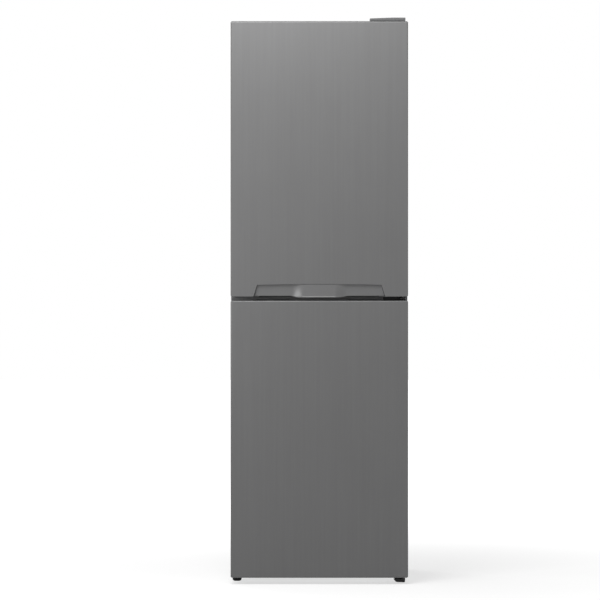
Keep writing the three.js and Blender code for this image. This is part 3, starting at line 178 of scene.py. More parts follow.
def rods(starts, ends, radius, sides=6):
    """Straight wires all at once: a circle at both ends of each, squares between, one face over each end."""
    arm = radius * arms(ends - starts, sides)
    points = np.stack([starts[:, None] + arm, ends[:, None] + arm], 1).reshape(-1, 3)
    first = np.arange(len(starts))[:, None, None] * 2 * sides
    ring = np.arange(sides)
    caps = np.concatenate([(ring[::-1] + first).reshape(-1, sides), (ring + sides + first).reshape(-1, sides)])
    return outward(points, [(quads(2, sides)[None] + first).reshape(-1, 4), caps])


def turned(profile, centre, axis="z", sides=32, flutes=0, depth=0.0):
    """A profile of (radius, height) carried round an axis; flutes press its rim in by depth, so many in a turn."""
    r, h = np.asarray(profile, float).T[..., None]
    a = turns(sides)
    reach = r - depth * 0.5 * (1 - np.cos(flutes * a)) * (r > 0.9 * r.max())
    return skin(about(axis, reach * np.cos(a), reach * np.sin(a), h) + np.asarray(centre, float))


# %% Blocks and bent sheet
CORNER_STEPS = 6  # steps in each corner of a rounded rectangle


def block(low, high, radius, steps=3):
    """A box with rounded edges: the small box's corner on each direction's side plus radius x direction."""
    low, high = np.asarray(low, float), np.asarray(high, float)
    inner = (high - low) / 2 - radius
    quarter = np.linspace(0, np.pi / 2, steps + 1)
    turn = (quarter + np.arange(4)[:, None] * np.pi / 2).ravel()
    rise = np.concatenate([quarter - np.pi / 2, quarter])[:, None]
    side_x, side_y = (np.repeat(signs, steps + 1) for signs in ([1, -1, -1, 1], [1, 1, -1, -1]))
    side_z = np.repeat([-1, 1], steps + 1)[:, None]
    x = side_x * inner[0] + radius * np.cos(rise) * np.cos(turn)
    y = side_y * inner[1] + radius * np.cos(rise) * np.sin(turn)
    return skin(about("z", x, y, side_z * inner[2] + radius * np.sin(rise)) + (high + low) / 2)


def pushed(outline, axis, start, end):
    """A flat outline of two coordinates pushed along an axis."""
    u, v = np.asarray(outline, float).T
    return skin(about(axis, u, v, np.array([[start], [end]])))


def round_rectangle(u0, u1, v0, v1, radius):
    """Corner arcs in order: for each quarter turn, the arc's centre plus the radius in that direction."""
    a = (np.linspace(0, 1, CORNER_STEPS + 1) + np.arange(4)[:, None]) * np.pi / 2
    centre_u = np.array([u1, u0, u0, u1])[:, None] + np.array([-1, 1, 1, -1])[:, None] * radius
    centre_v = np.array([v1, v1, v0, v0])[:, None] + np.array([-1, -1, 1, 1])[:, None] * radius
    return np.stack([centre_u + radius * np.cos(a), centre_v + radius * np.sin(a)], -1).reshape(-1, 2)


def bent_strip(path, thickness, bend):
    """The outline of bent sheet: the rounded path moved half a thickness to each side."""
    line = rounded(path, bend, 5)
    way = unit(np.gradient(line, axis=0))
    side = np.c_[-way[:, 1], way[:, 0]] * thickness / 2
    return np.concatenate([line + side, (line - side)[::-1]])

# %% [markdown]
# ## From arrays to pieces
#
# A piece is one Blender object. Its mesh is filled from the arrays in one go, points that coincide are
# merged so that seams and poles are closed, and edges sharper than a chosen angle stay crisp while the
# rest is shaded smoothly. Each piece hangs on the CAD body that carries it, takes its slot's finish, and
# the CAD nodes it stands for are hidden. Where the CAD shape is already right but its edges are too sharp to
# catch light, a merged copy gets a small bevel instead: real sheet and mouldings never end in a razor edge.

# %% Making pieces
WELD = 1e-6  # points nearer than this, in metres, become one
FLAT = math.radians(0.5)  # faces that meet at less than this angle become one
BEVEL_FROM = math.radians(38)  # edges sharper than this get a bevel


def placed(name, data):
    """A new object in the scene."""
    made = bpy.data.objects.new(name, data)
    bpy.context.scene.collection.objects.link(made)
    return made


def finished(name, mesh, body, slot, stands_for, crease, join_flat=False):
    """Welds the mesh, shades it smoothly up to the crease angle and puts the piece on its body, in its slot and
    in place of the nodes that it stands for."""
    bm = bmesh.new()
    bm.from_mesh(mesh)
    bmesh.ops.remove_doubles(bm, verts=bm.verts, dist=WELD)
    if join_flat:
        bmesh.ops.dissolve_limit(bm, angle_limit=FLAT, verts=bm.verts, edges=bm.edges)
    else:
        bmesh.ops.dissolve_degenerate(bm, edges=bm.edges, dist=WELD / 10)
    bm.to_mesh(mesh)
    bm.free()
    mesh.shade_smooth()
    mesh.set_sharp_from_angle(angle=math.radians(crease))
    mesh.materials.clear()
    mesh.materials.append(finishes[slot])
    piece = placed(name, mesh)
    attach(piece, body)
    if stands_for:
        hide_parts(*stands_for)
    return piece


def make(name, parts, body, slot, stands_for=(), crease=35):
    """One piece from several surfaces, given in millimetres."""
    starts = np.cumsum([0] + [len(points) for points, _ in parts])
    points = np.concatenate([points for points, _ in parts]) * MM
    faces = [f + start for (_, fs), start in zip(parts, starts) for f in fs]
    sizes = np.concatenate([np.full(len(f), f.shape[1]) for f in faces])
    mesh = bpy.data.meshes.new(name)
    mesh.vertices.add(len(points))
    mesh.vertices.foreach_set("co", points.ravel())
    mesh.loops.add(int(sizes.sum()))
    mesh.loops.foreach_set("vertex_index", np.concatenate([f.ravel() for f in faces]).astype(np.int32))
    mesh.polygons.add(len(sizes))
    mesh.polygons.foreach_set("loop_start", np.cumsum(np.r_[0, sizes[:-1]]).astype(np.int32))
    mesh.update(calc_edges=True)
    return finished(name, mesh, body, slot, stands_for, crease)


def softened(node, bevel):
    """A welded copy of a CAD node, in its own coat or, for the two nodes in the gap, black as painted shade,
    with its sharp edges rounded by so many millimetres.
    """
    copy = frame["nodes"][node].data.copy()
    piece = finished(f"{node}_rounded", copy, node_body[node], node_coats_and_gap_shade[node], (node,), 40, join_flat=True)
    edge = piece.modifiers.new("edges", "BEVEL")
    edge.width, edge.segments = bevel * MM, 2
    edge.limit_method, edge.angle_limit = "ANGLE", BEVEL_FROM
    edge.harden_normals = True

# %% [markdown]
# ## Shared effects
#
# Some marks belong to more than one finish: long streaks from brushing or rolling, fine grain from a
# spark-eroded mould, slow clouding where hands and cloths have been, dust that settles on what faces up,
# and crystals of zinc. Each is a node group that reads a position and gives back a number
# between 0 and 1; the shader itself, with its plain values, stays in each material.

# %% Node helpers
def add_node(tree, kind, settings=None, **inputs):
    """A shader node. Inputs go by name, with _ for a space, or as i and a number; a socket is linked."""
    made = tree.nodes.new("ShaderNode" + kind)
    for key, value in (settings or {}).items():
        setattr(made, key, value)
    for key, value in inputs.items():
        socket = made.inputs[int(key[1:]) if key[1:].isdigit() else key.replace("_", " ")]
        if isinstance(value, bpy.types.NodeSocket):
            tree.links.new(value, socket)
        else:
            socket.default_value = value
    return made


def math_node(tree, operation, a, b, clamp=False):
    return add_node(tree, "Math", {"operation": operation, "use_clamp": clamp}, i0=a, i1=b).outputs[0]


def ramp(tree, value, start, end, low=0.0, high=1.0, kind="SMOOTHSTEP"):
    """A value's step: low before start, high after end, and a smooth or straight way between."""
    steps = {"From_Min": start, "From_Max": end, "To_Min": low, "To_Max": high}
    return add_node(tree, "MapRange", {"interpolation_type": kind}, Value=value, **steps).outputs[0]


def choose(tree, factor, first, second, output):
    """Mixes two shaders and links the result to an output node."""
    mixed = add_node(tree, "MixShader", i0=factor, i1=first.outputs[0], i2=second.outputs[0])
    tree.links.new(mixed.outputs[0], tree.nodes[output].inputs["Surface"])


def effect(name, inputs, build):
    """A node group with a Vector input, named number inputs and one output, Mask."""
    group = bpy.data.node_groups.new(name, "ShaderNodeTree")
    group.interface.new_socket("Vector", in_out="INPUT", socket_type="NodeSocketVector")
    for label, value in inputs.items():
        socket = group.interface.new_socket(label, in_out="INPUT", socket_type="NodeSocketFloat")
        socket.default_value = value
    group.interface.new_socket("Mask", in_out="OUTPUT", socket_type="NodeSocketFloat")
    entry, leave = group.nodes.new("NodeGroupInput"), group.nodes.new("NodeGroupOutput")
    group.links.new(build(group, entry.outputs), leave.inputs["Mask"])
    return group


# %% The effects
def noise(tree, place, scale, detail, roughness):
    found = add_node(tree, "TexNoise", Vector=place, Scale=scale, Detail=detail, Roughness=roughness)
    return found.outputs[0]


def streaks(tree, given):
    """Noise squeezed to a width across and stretched to a length along Z."""
    across, along = (math_node(tree, "DIVIDE", 1.0, given[size]) for size in ("Width", "Length"))
    scale = add_node(tree, "CombineXYZ", X=across, Y=across, Z=along).outputs[0]
    place = add_node(tree, "VectorMath", {"operation": "MULTIPLY"}, i0=given["Vector"], i1=scale).outputs[0]
    return noise(tree, place, 1.0, 2.0, 0.6)


def grain(tree, given):
    """Even noise whose cells have the given size."""
    return noise(tree, given["Vector"], math_node(tree, "DIVIDE", 1.0, given["Size"]), 3.0, 0.55)


def crystals(tree, given):
    """Flat cells of the given size, each with a brightness of its own."""
    scale = math_node(tree, "DIVIDE", 1.0, given["Size"])
    cells = add_node(tree, "TexVoronoi", Vector=given["Vector"], Scale=scale)
    return add_node(tree, "RGBToBW", Color=cells.outputs["Color"]).outputs[0]


def settled_dust(tree, given):
    """Where the surface faces up, broken by clouds: the upward part of the normal times noise."""
    normal = tree.nodes.new("ShaderNodeNewGeometry").outputs["Normal"]
    facing = ramp(tree, add_node(tree, "SeparateXYZ", Vector=normal).outputs["Z"], 0.55, 1.0)
    clouds = math_node(tree, "MULTIPLY", noise(tree, given["Vector"], 28.0, 4.0, 0.6), given["Amount"])
    return math_node(tree, "MULTIPLY", facing, clouds, clamp=True)


effects = {
    "streaks": effect("streaks", {"Width": 0.001, "Length": 0.2}, streaks),
    "grain": effect("grain", {"Size": 0.0005}, grain),
    "crystals": effect("crystals", {"Size": 0.006}, crystals),
    "dust": effect("settled dust", {"Amount": 1.0}, settled_dust),
}
print("effects", list(effects))

# %% [markdown]
# ## Finishes
#
# One material for each slot of the record. A material starts from the colour, roughness and metalness of
# the real surface, and the effects above then vary them a little: the eye takes a perfectly even surface
# for plastic wrap. Values that are the same everywhere sit on the shader's own sockets.

# %% A finish as a small builder
MIDDLE = (0.3, 0.7)  # most values of a noise lie between these
finishes = {}


class Finish:
    """A material with a Principled shader, object coordinates and a few ways to vary it."""

    def __init__(self, name, color, roughness, metallic=0.0, **sockets):
        material = finishes[name] = bpy.data.materials.new(name)
        material.use_nodes = True
        material.diffuse_color = (*color, 1)
        self.tree = material.node_tree
        self.shader = self.tree.nodes["Principled BSDF"]
        plain = {"Base_Color": (*color, 1), "Roughness": roughness, "Metallic": metallic, **sockets}
        for key, value in plain.items():
            self.shader.inputs[key.replace("_", " ")].default_value = value
        self.place = self.tree.nodes.new("ShaderNodeTexCoord").outputs["Object"]
        self.tint = color
        print("finish", name)

    def mask(self, name, **inputs):
        """One of the shared effects, placed in this material with its own values."""
        made = self.tree.nodes.new("ShaderNodeGroup")
        made.node_tree = effects[name]
        self.tree.links.new(self.place, made.inputs["Vector"])
        for key, value in inputs.items():
            made.inputs[key].default_value = value
        return made.outputs["Mask"]

    def grain(self, size):
        """Even noise with cells of that size in metres."""
        return self.mask("grain", Size=size)

    def stretch(self, mask, low, high):
        """The mask's middle range stretched to go from low to high."""
        return ramp(self.tree, mask, *MIDDLE, low, high, "LINEAR")

    def feed(self, socket, value):
        self.tree.links.new(value, self.shader.inputs[socket])
        return self

    def shade(self, mask, low, high):
        """Multiplies the colour by a number between low and high."""
        gain = self.stretch(mask, low, high)
        self.tint = add_node(self.tree, "VectorMath", {"operation": "SCALE"}, i0=self.tint, Scale=gain).outputs[0]
        return self.feed("Base Color", self.tint)

    def cover(self, mask, color):
        """Lays another colour over the shaded one where the mask is high."""
        mixed = add_node(self.tree, "Mix", {"data_type": "RGBA"}, i0=mask, i6=self.tint, i7=(*color, 1))
        self.tint = mixed.outputs[2]
        return self.feed("Base Color", self.tint)

    def polish(self, mask, low, high):
        """Roughness between two values."""
        return self.feed("Roughness", self.stretch(mask, low, high))

    def relief(self, mask, depth, strength):
        """Bump of that depth in millimetres."""
        bump = add_node(self.tree, "Bump", Height=mask, Distance=depth * MM, Strength=strength)
        return self.feed("Normal", bump.outputs[0])

    def passes_lamps(self, color):
        """Rays from lamps go straight on, tinted, so that what stands behind or under a clear piece stays lit."""
        lamp_ray = self.tree.nodes.new("ShaderNodeLightPath").outputs["Is Shadow Ray"]
        through = add_node(self.tree, "BsdfTransparent", Color=(*color, 1))
        choose(self.tree, lamp_ray, self.shader, through, "Material Output")

# %% [markdown]
# ### Door steel
#
# The doors are flat sheet with a satin "inox" finish: neutral gray, brushed upright, with a protective
# lacquer. Brushing makes hair-fine upright lines; rolling and handling leave wider, softer bands. Both
# are streaks of different widths. The metal is only part metallic in look, because the lacquer scatters
# light, so it takes the room's light like a satin paint and keeps a soft sheen.

# %% Door steel
steel = Finish("door_steel", (0.150, 0.1503, 0.151), 0.46, 0.38)
hair = steel.mask("streaks", Width=0.0004, Length=0.05)
bands = steel.mask("streaks", Width=0.006, Length=0.45)
clouds = steel.grain(0.18)
steel.shade(hair, 0.975, 1.025).shade(bands, 0.975, 1.025).shade(clouds, 0.985, 1.015)
steel.polish(hair, 0.42, 0.5).relief(hair, 0.004, 0.5)

# %% [markdown]
# ### Mouldings
#
# Injection moulded plastic copies the fine spark-eroded grain of its mould. The grip is painted silver
# gray with a little metal flake, the caps and the hinge cover are dark gray right through, the liner and
# the lamp housing are white and glossier, since the sheet is drawn over a smooth tool.

# %% Plastics and rubber
grip = Finish("grip_plastic", (0.152, 0.1525, 0.1535), 0.38, 0.38)
flake = grip.grain(0.0003)
grip.shade(flake, 0.96, 1.04).shade(grip.grain(0.05), 0.98, 1.02)
grip.polish(flake, 0.34, 0.42).relief(grip.grain(0.0012), 0.01, 0.4)

caps = Finish("gray_plastic", (0.118, 0.119, 0.121), 0.5, Specular_IOR_Level=0.35)
mould = caps.grain(0.0006)
caps.shade(caps.grain(0.03), 0.96, 1.04).cover(caps.mask("dust", Amount=0.1), (0.4, 0.39, 0.37))
caps.polish(mould, 0.44, 0.58).relief(mould, 0.03, 0.6)

white = Finish("white_plastic", (0.76, 0.77, 0.775), 0.28)
draw = white.grain(0.03)
white.shade(white.grain(0.2), 0.985, 1.01)
white.polish(draw, 0.26, 0.3).relief(draw, 0.02, 0.2)

black = Finish("black_plastic", (0.006, 0.006, 0.0065), 0.6, Specular_IOR_Level=0.2)
mould = black.grain(0.0007)
black.shade(mould, 0.85, 1.2).cover(black.mask("dust", Amount=0.12), (0.2, 0.195, 0.185))
black.polish(mould, 0.54, 0.66).relief(mould, 0.04, 0.7)

rubber = Finish("gray_rubber", (0.33, 0.335, 0.34), 0.62)
powder = rubber.grain(0.002)
rubber.shade(powder, 0.95, 1.05).polish(powder, 0.55, 0.7).relief(powder, 0.02, 0.4)

foam = Finish("foam", (0.75, 0.66, 0.42), 0.85)
cells = foam.mask("crystals", Size=0.0015)
foam.shade(cells, 0.88, 1.08).polish(cells, 0.8, 0.9).relief(cells, 0.3, 0.8)

# %% [markdown]
# ### Painted, coated and bare metal
#
# The cabinet is gray painted sheet with the faint orange peel of spray paint. Hidden metal is zinc-coated,
# and hot-dip zinc freezes into visible crystals. The condenser, the compressor and the foot's hinge are
# black painted, dusty on top because warm air draws dust through them. Cold shelves are white coated.

# %% Metals
paint = Finish("cabinet_steel", (0.180, 0.181, 0.183), 0.42, 0.1)
peel = paint.grain(0.0022)
paint.shade(paint.grain(0.25), 0.975, 1.025).shade(peel, 0.985, 1.015)
paint.cover(paint.mask("dust", Amount=0.12), (0.45, 0.44, 0.42))
paint.polish(paint.grain(0.09), 0.38, 0.47).relief(peel, 0.03, 0.35)

zinc = Finish("zinc_steel", (0.42, 0.43, 0.44), 0.42, 0.7)
spangle = zinc.mask("crystals", Size=0.007)
zinc.shade(spangle, 0.86, 1.12).shade(zinc.grain(0.02), 0.95, 1.04)
zinc.cover(zinc.mask("dust", Amount=0.18), (0.4, 0.39, 0.37))
zinc.polish(spangle, 0.34, 0.5).relief(zinc.grain(0.003), 0.02, 0.3)

lacquer = Finish("black_steel", (0.010, 0.010, 0.0105), 0.4, 0.2, Specular_IOR_Level=0.35)
coat = lacquer.grain(0.0025)
lacquer.shade(lacquer.grain(0.03), 0.85, 1.2)
lacquer.cover(lacquer.mask("dust", Amount=0.4), (0.22, 0.21, 0.2))
lacquer.polish(coat, 0.32, 0.48).relief(coat, 0.04, 0.4)

coated = Finish("white_steel", (0.74, 0.75, 0.755), 0.35)
coat = coated.grain(0.003)
coated.shade(coat, 0.97, 1.02).polish(coat, 0.3, 0.42).relief(coat, 0.03, 0.4)

copper = Finish("copper", (0.52, 0.24, 0.14), 0.34, 0.9)
tarnish = copper.grain(0.012)
copper.shade(tarnish, 0.7, 1.1).polish(tarnish, 0.28, 0.46).relief(copper.grain(0.001), 0.01, 0.3)

# %% [markdown]
# ### Glass and clear plastics
#
# Shelf glass is float glass, faintly green, almost mirror smooth, with a trace of wiping marks. The
# vegetable drawer and the door racks are clear styrene, the freezer drawers a cloudy grade of it: the
# same shader with more roughness, and fine flow marks from moulding. The renderer would let a clear piece
# cast a full shadow, so for rays from lamps each of them is mixed with a tinted transparent shader.

# %% Glass and clear plastics
glass = Finish("shelf_glass", (0.88, 0.95, 0.93), 0.04, 0.0, Transmission_Weight=1.0, IOR=1.5)
wipes = glass.grain(0.03)
glass.polish(wipes, 0.02, 0.06).shade(wipes, 0.98, 1.0).passes_lamps((0.80, 0.86, 0.84))

clear = Finish("clear_plastic", (0.90, 0.93, 0.95), 0.1, 0.0, Transmission_Weight=0.88, IOR=1.46)
flow = clear.mask("streaks", Width=0.02, Length=0.08)
clear.polish(flow, 0.06, 0.14).shade(flow, 0.97, 1.0).relief(flow, 0.02, 0.3).passes_lamps((0.70, 0.73, 0.75))

frost = Finish("frost_plastic", (0.86, 0.90, 0.93), 0.35, 0.0, Transmission_Weight=0.6, IOR=1.46)
flow = frost.grain(0.004)
frost.polish(flow, 0.3, 0.42).shade(frost.grain(0.06), 0.97, 1.0).relief(flow, 0.03, 0.4)
frost.passes_lamps((0.45, 0.47, 0.49))

# %% [markdown]
# ## Every CAD node gets its finish
#
# The record names a material slot for each node, so one loop gives each its finish. Two nodes at the gap between
# the doors are shown black instead, as painted shade, because the gap is black in the photograph.

# %% Put the finishes on every CAD node
# Painted shade: the middle hinge and the freezer door's top cap are coloured black in place of their own finish, to
# stand for the shade in the gap.
BLACK_AS_GAP_SHADE = {"middle_hinge": "black_steel", "freezer_door_top_cap": "black_plastic"}
node_coats_and_gap_shade = {part["node"]: part["material_slot"] for part in frame["record"]["subparts"]} | BLACK_AS_GAP_SHADE
for node, coat in node_coats_and_gap_shade.items():
    worn = frame["nodes"][node].data.materials
    worn.clear()
    worn.append(finishes[coat])
print("nodes with a finish", len(node_coats_and_gap_shade))

# %% [markdown]
# ## Camera
#
# The photograph is taken straight on from far away: both doors fill 557 of 600 pixels, their edges run
# parallel, and nothing of the top or the underside shows. So the camera is level, at half the doors'
# height, and 9.5 metres in front of them. The appliance stands 19 pixels right of the middle.

# %% Camera
DISTANCE = 9.5
FIELD = 1.8412  # width of the view in metres at the doors
AIM = (-0.0594, -0.297, 0.8729)
SENSOR = 36

camera = placed("camera", bpy.data.cameras.new("camera"))
camera.data.sensor_width = SENSOR
camera.data.lens = SENSOR * DISTANCE / FIELD
camera.data.clip_end = 100
camera.location = (AIM[0], AIM[1] - DISTANCE, AIM[2])
camera.rotation_euler = (math.pi / 2, 0, 0)
bpy.context.scene.camera = camera
print("lens", round(camera.data.lens, 1), "camera", [round(v, 3) for v in camera.location])

# %% [markdown]
# ## Light and floor
#
# A soft box high in front lights the top of the doors, which fall off slowly towards the foot. A weaker
# one beside it fills in, a small one at the left keeps the doors' left edges lighter, as in the photograph,
# and a wide one behind lights the back. The world and the floor are white only for rays from the camera, a
# mirror or glass, so the background is clean while the lamps stay at a plain level. The floor glows less
# near the appliance, which lets the lamps' shadow show, and hardly at all under it, which paints shade there.

# %% Lamps
def lamp(name, place, aim, width, height, power):
    """A soft box of that width and height that looks at a point."""
    light = bpy.data.lights.new(name, "AREA")
    light.shape, light.size, light.size_y, light.energy = "RECTANGLE", width, height, power
    holder = placed(name, light)
    holder.location = place
    x, y, z = np.subtract(aim, place)
    holder.rotation_euler = (math.atan2(math.hypot(x, y), -z), 0, math.atan2(-x, y))
    holder.visible_camera = False
    print("lamp", name, power, "W")


lamp("key", (-0.4, -1.5, 2.45), (0.0, -0.3, 1.5), 0.8, 0.4, 23.6)
lamp("fill", (0.3, -1.3, 2.4), (0.1, -0.3, 1.6), 0.6, 0.3, 3.0)
lamp("side", (-0.9, -1.0, 0.95), (-0.27, -0.3, 0.95), 0.35, 0.35, 3.1)
lamp("back", (-1.6, 3.4, 2.6), (0.0, 0.2, 0.9), 2.6, 2.6, 45)


# %% World
WHITE = (1, 1, 1, 1)
AMBIENT = 0.3


def seen_directly(tree):
    """1 for the camera's own rays and for rays that come by a mirror or through glass."""
    path = tree.nodes.new("ShaderNodeLightPath").outputs
    first = math_node(tree, "MAXIMUM", path["Is Camera Ray"], path["Is Glossy Ray"])
    return math_node(tree, "MAXIMUM", first, path["Is Transmission Ray"])


world = bpy.data.worlds.new("studio")
bpy.context.scene.world = world
world.use_nodes = True
sky = world.node_tree
dim = sky.nodes["Background"]
dim.inputs["Color"].default_value = WHITE
dim.inputs["Strength"].default_value = AMBIENT
bright = add_node(sky, "Background", Color=WHITE, Strength=1.0)
choose(sky, seen_directly(sky), dim, bright, "World Output")
bpy.context.scene.view_settings.view_transform = "Standard"
print("ambient light", AMBIENT)

# %% Floor
FLOOR = 24.0  # half its side
SHADE_PATCH_MIDDLE = (0.0, 0.15, 0.0)  # the middle of the patch of painted shade under the appliance

floor_mesh = bpy.data.meshes.new("floor")
corners = [(x * FLOOR, y * FLOOR, 0) for x, y in ((-1, -1), (1, -1), (1, 1), (-1, 1))]
floor_mesh.from_pydata(corners, [], [(0, 1, 2, 3)])
floor = placed("floor", floor_mesh)

ground = Finish("pale_floor", (0.55, 0.55, 0.55), 0.9, Specular_IOR_Level=0.0, Emission_Color=WHITE)
earth = ground.tree
away = add_node(earth, "VectorMath", {"operation": "LENGTH"}, i0=ground.place).outputs["Value"]
beside = add_node(earth, "VectorMath", {"operation": "DISTANCE"}, i0=ground.place, i1=SHADE_PATCH_MIDDLE).outputs["Value"]
# Painted shade: the glow falls to a tenth in a patch under the appliance.
glow_with_painted_shade = math_node(earth, "MULTIPLY", ramp(earth, away, 0.4, 3.2, 0.62, 1.05), ramp(earth, beside, 0.1, 0.24, 0.1))
ground.feed("Emission Strength", math_node(earth, "MULTIPLY", glow_with_painted_shade, seen_directly(earth)))
floor_mesh.materials.append(finishes["pale_floor"])
print("floor", 2 * FLOOR, "m square")

# %% [markdown]
# ## Door skins
#
# Each door is a tray of thin steel: a flat front whose edges are rolled over with a 4 mm radius, a short
# lip along the top and the bottom, and sides that run back and turn in. The upper one has an opening in
# its lower edge for the grip. The front is made as rings round its outline: each ring is the outline
# moved inwards by r(1 - sin a) and back by r(1 - cos a), so the rolled edge is a true quarter circle and
# the flat stays flat.

# %% Sizes of the doors
HALF, FRONT = 272.5, -297.0  # half the width, and the plane of the doors' fronts
UPPER, LOWER = (883.0, 846.0), (20.0, 851.0)  # lower edge and height of each door
SHEET, CORNER, LIP, RIM = 0.8, 5.5, 12.0, 1.6  # steel, its corners, the lip, and the rim round the mouth
ROLL, CRISP, HOLD = 4.0, 1.6, 1.5  # rolled edges, crisper ones, and the flat ring that keeps the front flat
MOUTH_FOOT, MOUTH_HEAD, MOUTH_HEIGHT, MOUTH_ARCH = 202.5, 191.0, 36.0, 2.5
print("doors", UPPER, LOWER, "mouth", MOUTH_FOOT * 2, "wide")


def mouth_top(x):
    """The mouth's height at a place across: an arch, a little higher in the middle."""
    return MOUTH_HEIGHT + MOUTH_ARCH * (1 - (x / MOUTH_HEAD) ** 2)


# %% Door skins
def door_outline(height, mouth):
    """Corner arcs counter-clockwise, with the mouth's slanted sides and arched top let into the lower edge."""
    arcs = round_rectangle(-HALF, HALF, 0, height, CORNER)
    outline = np.roll(arcs, CORNER_STEPS + 1, axis=0)  # starts at the lower right corner's arc
    roll = np.full(len(outline), ROLL)
    lip = np.full(len(outline), LIP)
    if not mouth:
        return outline, roll, lip
    roll[outline[:, 1] < height / 2] = CRISP
    x = np.linspace(-MOUTH_HEAD, MOUTH_HEAD, 25)
    foot = np.array([[-MOUTH_FOOT - 6, 0], [-MOUTH_FOOT, 0]])
    path = np.concatenate([foot, np.c_[x, mouth_top(x)], foot[::-1] * [-1, 1]])
    between = len(path) - 2
    edge = np.r_[CRISP, np.full(between, SHEET), CRISP]
    deep = np.r_[LIP, np.full(between, RIM), LIP]
    return np.concatenate([outline, path]), np.r_[roll, edge], np.r_[lip, deep]


def door_front(height, mouth):
    """Rings from the flat front round the rolled edge to the lip, and back inside one sheet thickness in."""
    line, roll, lip = door_outline(height, mouth)
    on = unit(np.roll(line, -1, 0) - line)
    left = np.c_[-on[:, 1], on[:, 0]]
    before = np.roll(left, 1, 0)
    inwards = (left + before) / (1 + (left * before).sum(1))[:, None]
    arc = np.linspace(0, np.pi / 2, 7)
    outer = [(roll * (1 - np.sin(a)), roll * (1 - np.cos(a))) for a in arc]
    inner = [(roll - (roll - SHEET) * np.sin(a), roll - (roll - SHEET) * np.cos(a)) for a in arc[::-1]]
    rings = []
    for inset, depth in [(roll + HOLD, 0), *outer, (0, lip), (SHEET, lip), *inner, (roll + HOLD, SHEET)]:
        inset, depth = (np.broadcast_to(v, roll.shape) for v in (inset, depth))
        place = line + inwards * inset[:, None]
        rings.append(np.c_[place[:, 0], depth, place[:, 1]])
    return skin(rings)


def door_sides(height):
    """A bent strip pushed upwards along each side: the side wall and the return behind it."""
    side = np.array([[HALF - SHEET / 2, 11.0], [HALF - SHEET / 2, 51.6], [HALF - 14.0, 51.6]])
    return [pushed(bent_strip(side * [s, 1], SHEET, 1.6), "z", 2.5, height - 2.5) for s in (-1, 1)]


for name, (foot, height), mouth, body in (
    ("upper_door_skin", UPPER, True, "fridge_door"),
    ("lower_door_skin", LOWER, False, "freezer_door"),
):
    parts = [door_front(height, mouth), *door_sides(height)]
    parts = [repeated(p, [(0, FRONT, foot)]) for p in parts]
    make(name, parts, body, "door_steel", (f"{body}_tray",), 25)

# %% [markdown]
# ## The grip
#
# The trim under the upper door is the one sculpted piece. Its middle is flush with the door, hangs a little
# lower and ends in a lip; at both sides it is a hollow whose upper half looks down, so that it stays dark
# under the light from above, while its lower half is upright. One formula gives the depth of every point
# from how far across it is and how far below the head; the border is tucked behind the steel, which
# leaves a thin line of shadow round the piece.

# %% Grip
WALL, TUCK, PROUD = 2.0, 2.2, 2.2  # thickness, how deep the border lies, how far the middle's foot stands out
FLUSH, LOW = (46, 86), (58, 94)  # how far from the middle the flush part and the low edge begin and end to fade
OVERLAP, HANG = 3.0, 2.0  # how far the border runs behind the steel, and the middle hangs below the door
BENDS = ((3.8, 8), (4.0, 32))  # depth and reach of the hollow's quick bend and of its slow one


def smooth(start, end, value):
    """A soft step: 0 before start, 1 after end, three times the square less twice the cube between."""
    t = np.clip((value - start) / (end - start), 0, 1)
    return t * t * (3 - 2 * t)


def grip_surface(columns=321, rows=56):
    """Depth = middle x (flush face with its lip) + (1 - middle) x (hollow), from the tuck at the border inwards."""
    even = np.linspace(-1, 1, columns)
    across = np.sin(np.pi / 2 * even) * 0.25 + 0.75 * even  # columns lie closer together at both ends
    up = np.linspace(0, 1, rows)[:, None]
    half = MOUTH_FOOT + OVERLAP + (MOUTH_HEAD - MOUTH_FOOT) * up
    x = across * half
    far = np.abs(x)
    middle = 1 - smooth(*FLUSH, far)
    low = OVERLAP - (OVERLAP + HANG) * (1 - smooth(*LOW, far))
    high = mouth_top(x) + OVERLAP
    from_head = (high - low) * (1 - up)
    lip = 0.8 * (1 - smooth(0, 0.1, up))
    flush = TUCK - (TUCK + PROUD) * (1 - up) - lip
    hollow = TUCK + sum(d * np.sin(np.pi / 2 * np.clip((from_head - 2) / reach, 0, 1)) for d, reach in BENDS)
    ends = smooth(2.6, 7.0, half - far)
    depth = TUCK + (middle * flush + (1 - middle) * hollow - TUCK) * ends
    front = np.stack([x, depth, low + (high - low) * up], -1)
    back = front + [0, WALL, 0]
    return skin(np.concatenate([front, back[::-1]]).transpose(1, 0, 2))


face = repeated(grip_surface(), [(0, FRONT, UPPER[0])])
make("grip_face", [face], "fridge_door", "grip_plastic", ("door_grip",), 50)

# %% [markdown]
# ## Caps, hinge cover and other mouldings
#
# These shapes are right in the CAD model; what they lack is the small radius that every moulding has. A
# welded copy with a bevel gives each edge a fine line of light.

# %% Softened mouldings and hinges
BEVELS = (
    (0.5, "fridge_door_top_cap fridge_door_bottom_cap freezer_door_bottom_cap"),
    (0.9, "top_hinge_cover"),
    (0.5, "freezer_door_top_cap"),
    (0.7, "fridge_door_liner freezer_door_liner fridge_liner freezer_liner control_housing"),
    (0.7, "bottle_rack middle_rack top_rack crisper_drawer"),
    (0.7, "freezer_drawer_1 freezer_drawer_2 freezer_drawer_3 freezer_drawer_4"),
    (0.4, "top_hinge compressor_plate"),
    (0.5, "middle_hinge bottom_hinge"),
    (0.8, "terminal_box evaporation_tray"),
    (0.4, "shelf_trim_1 shelf_trim_2 shelf_trim_3"),
)
# Each copy takes its node's coat, so the copies of the two nodes in the gap stay black as painted shade.
for bevel, nodes in BEVELS:
    for node in nodes.split():
        softened(node, bevel)

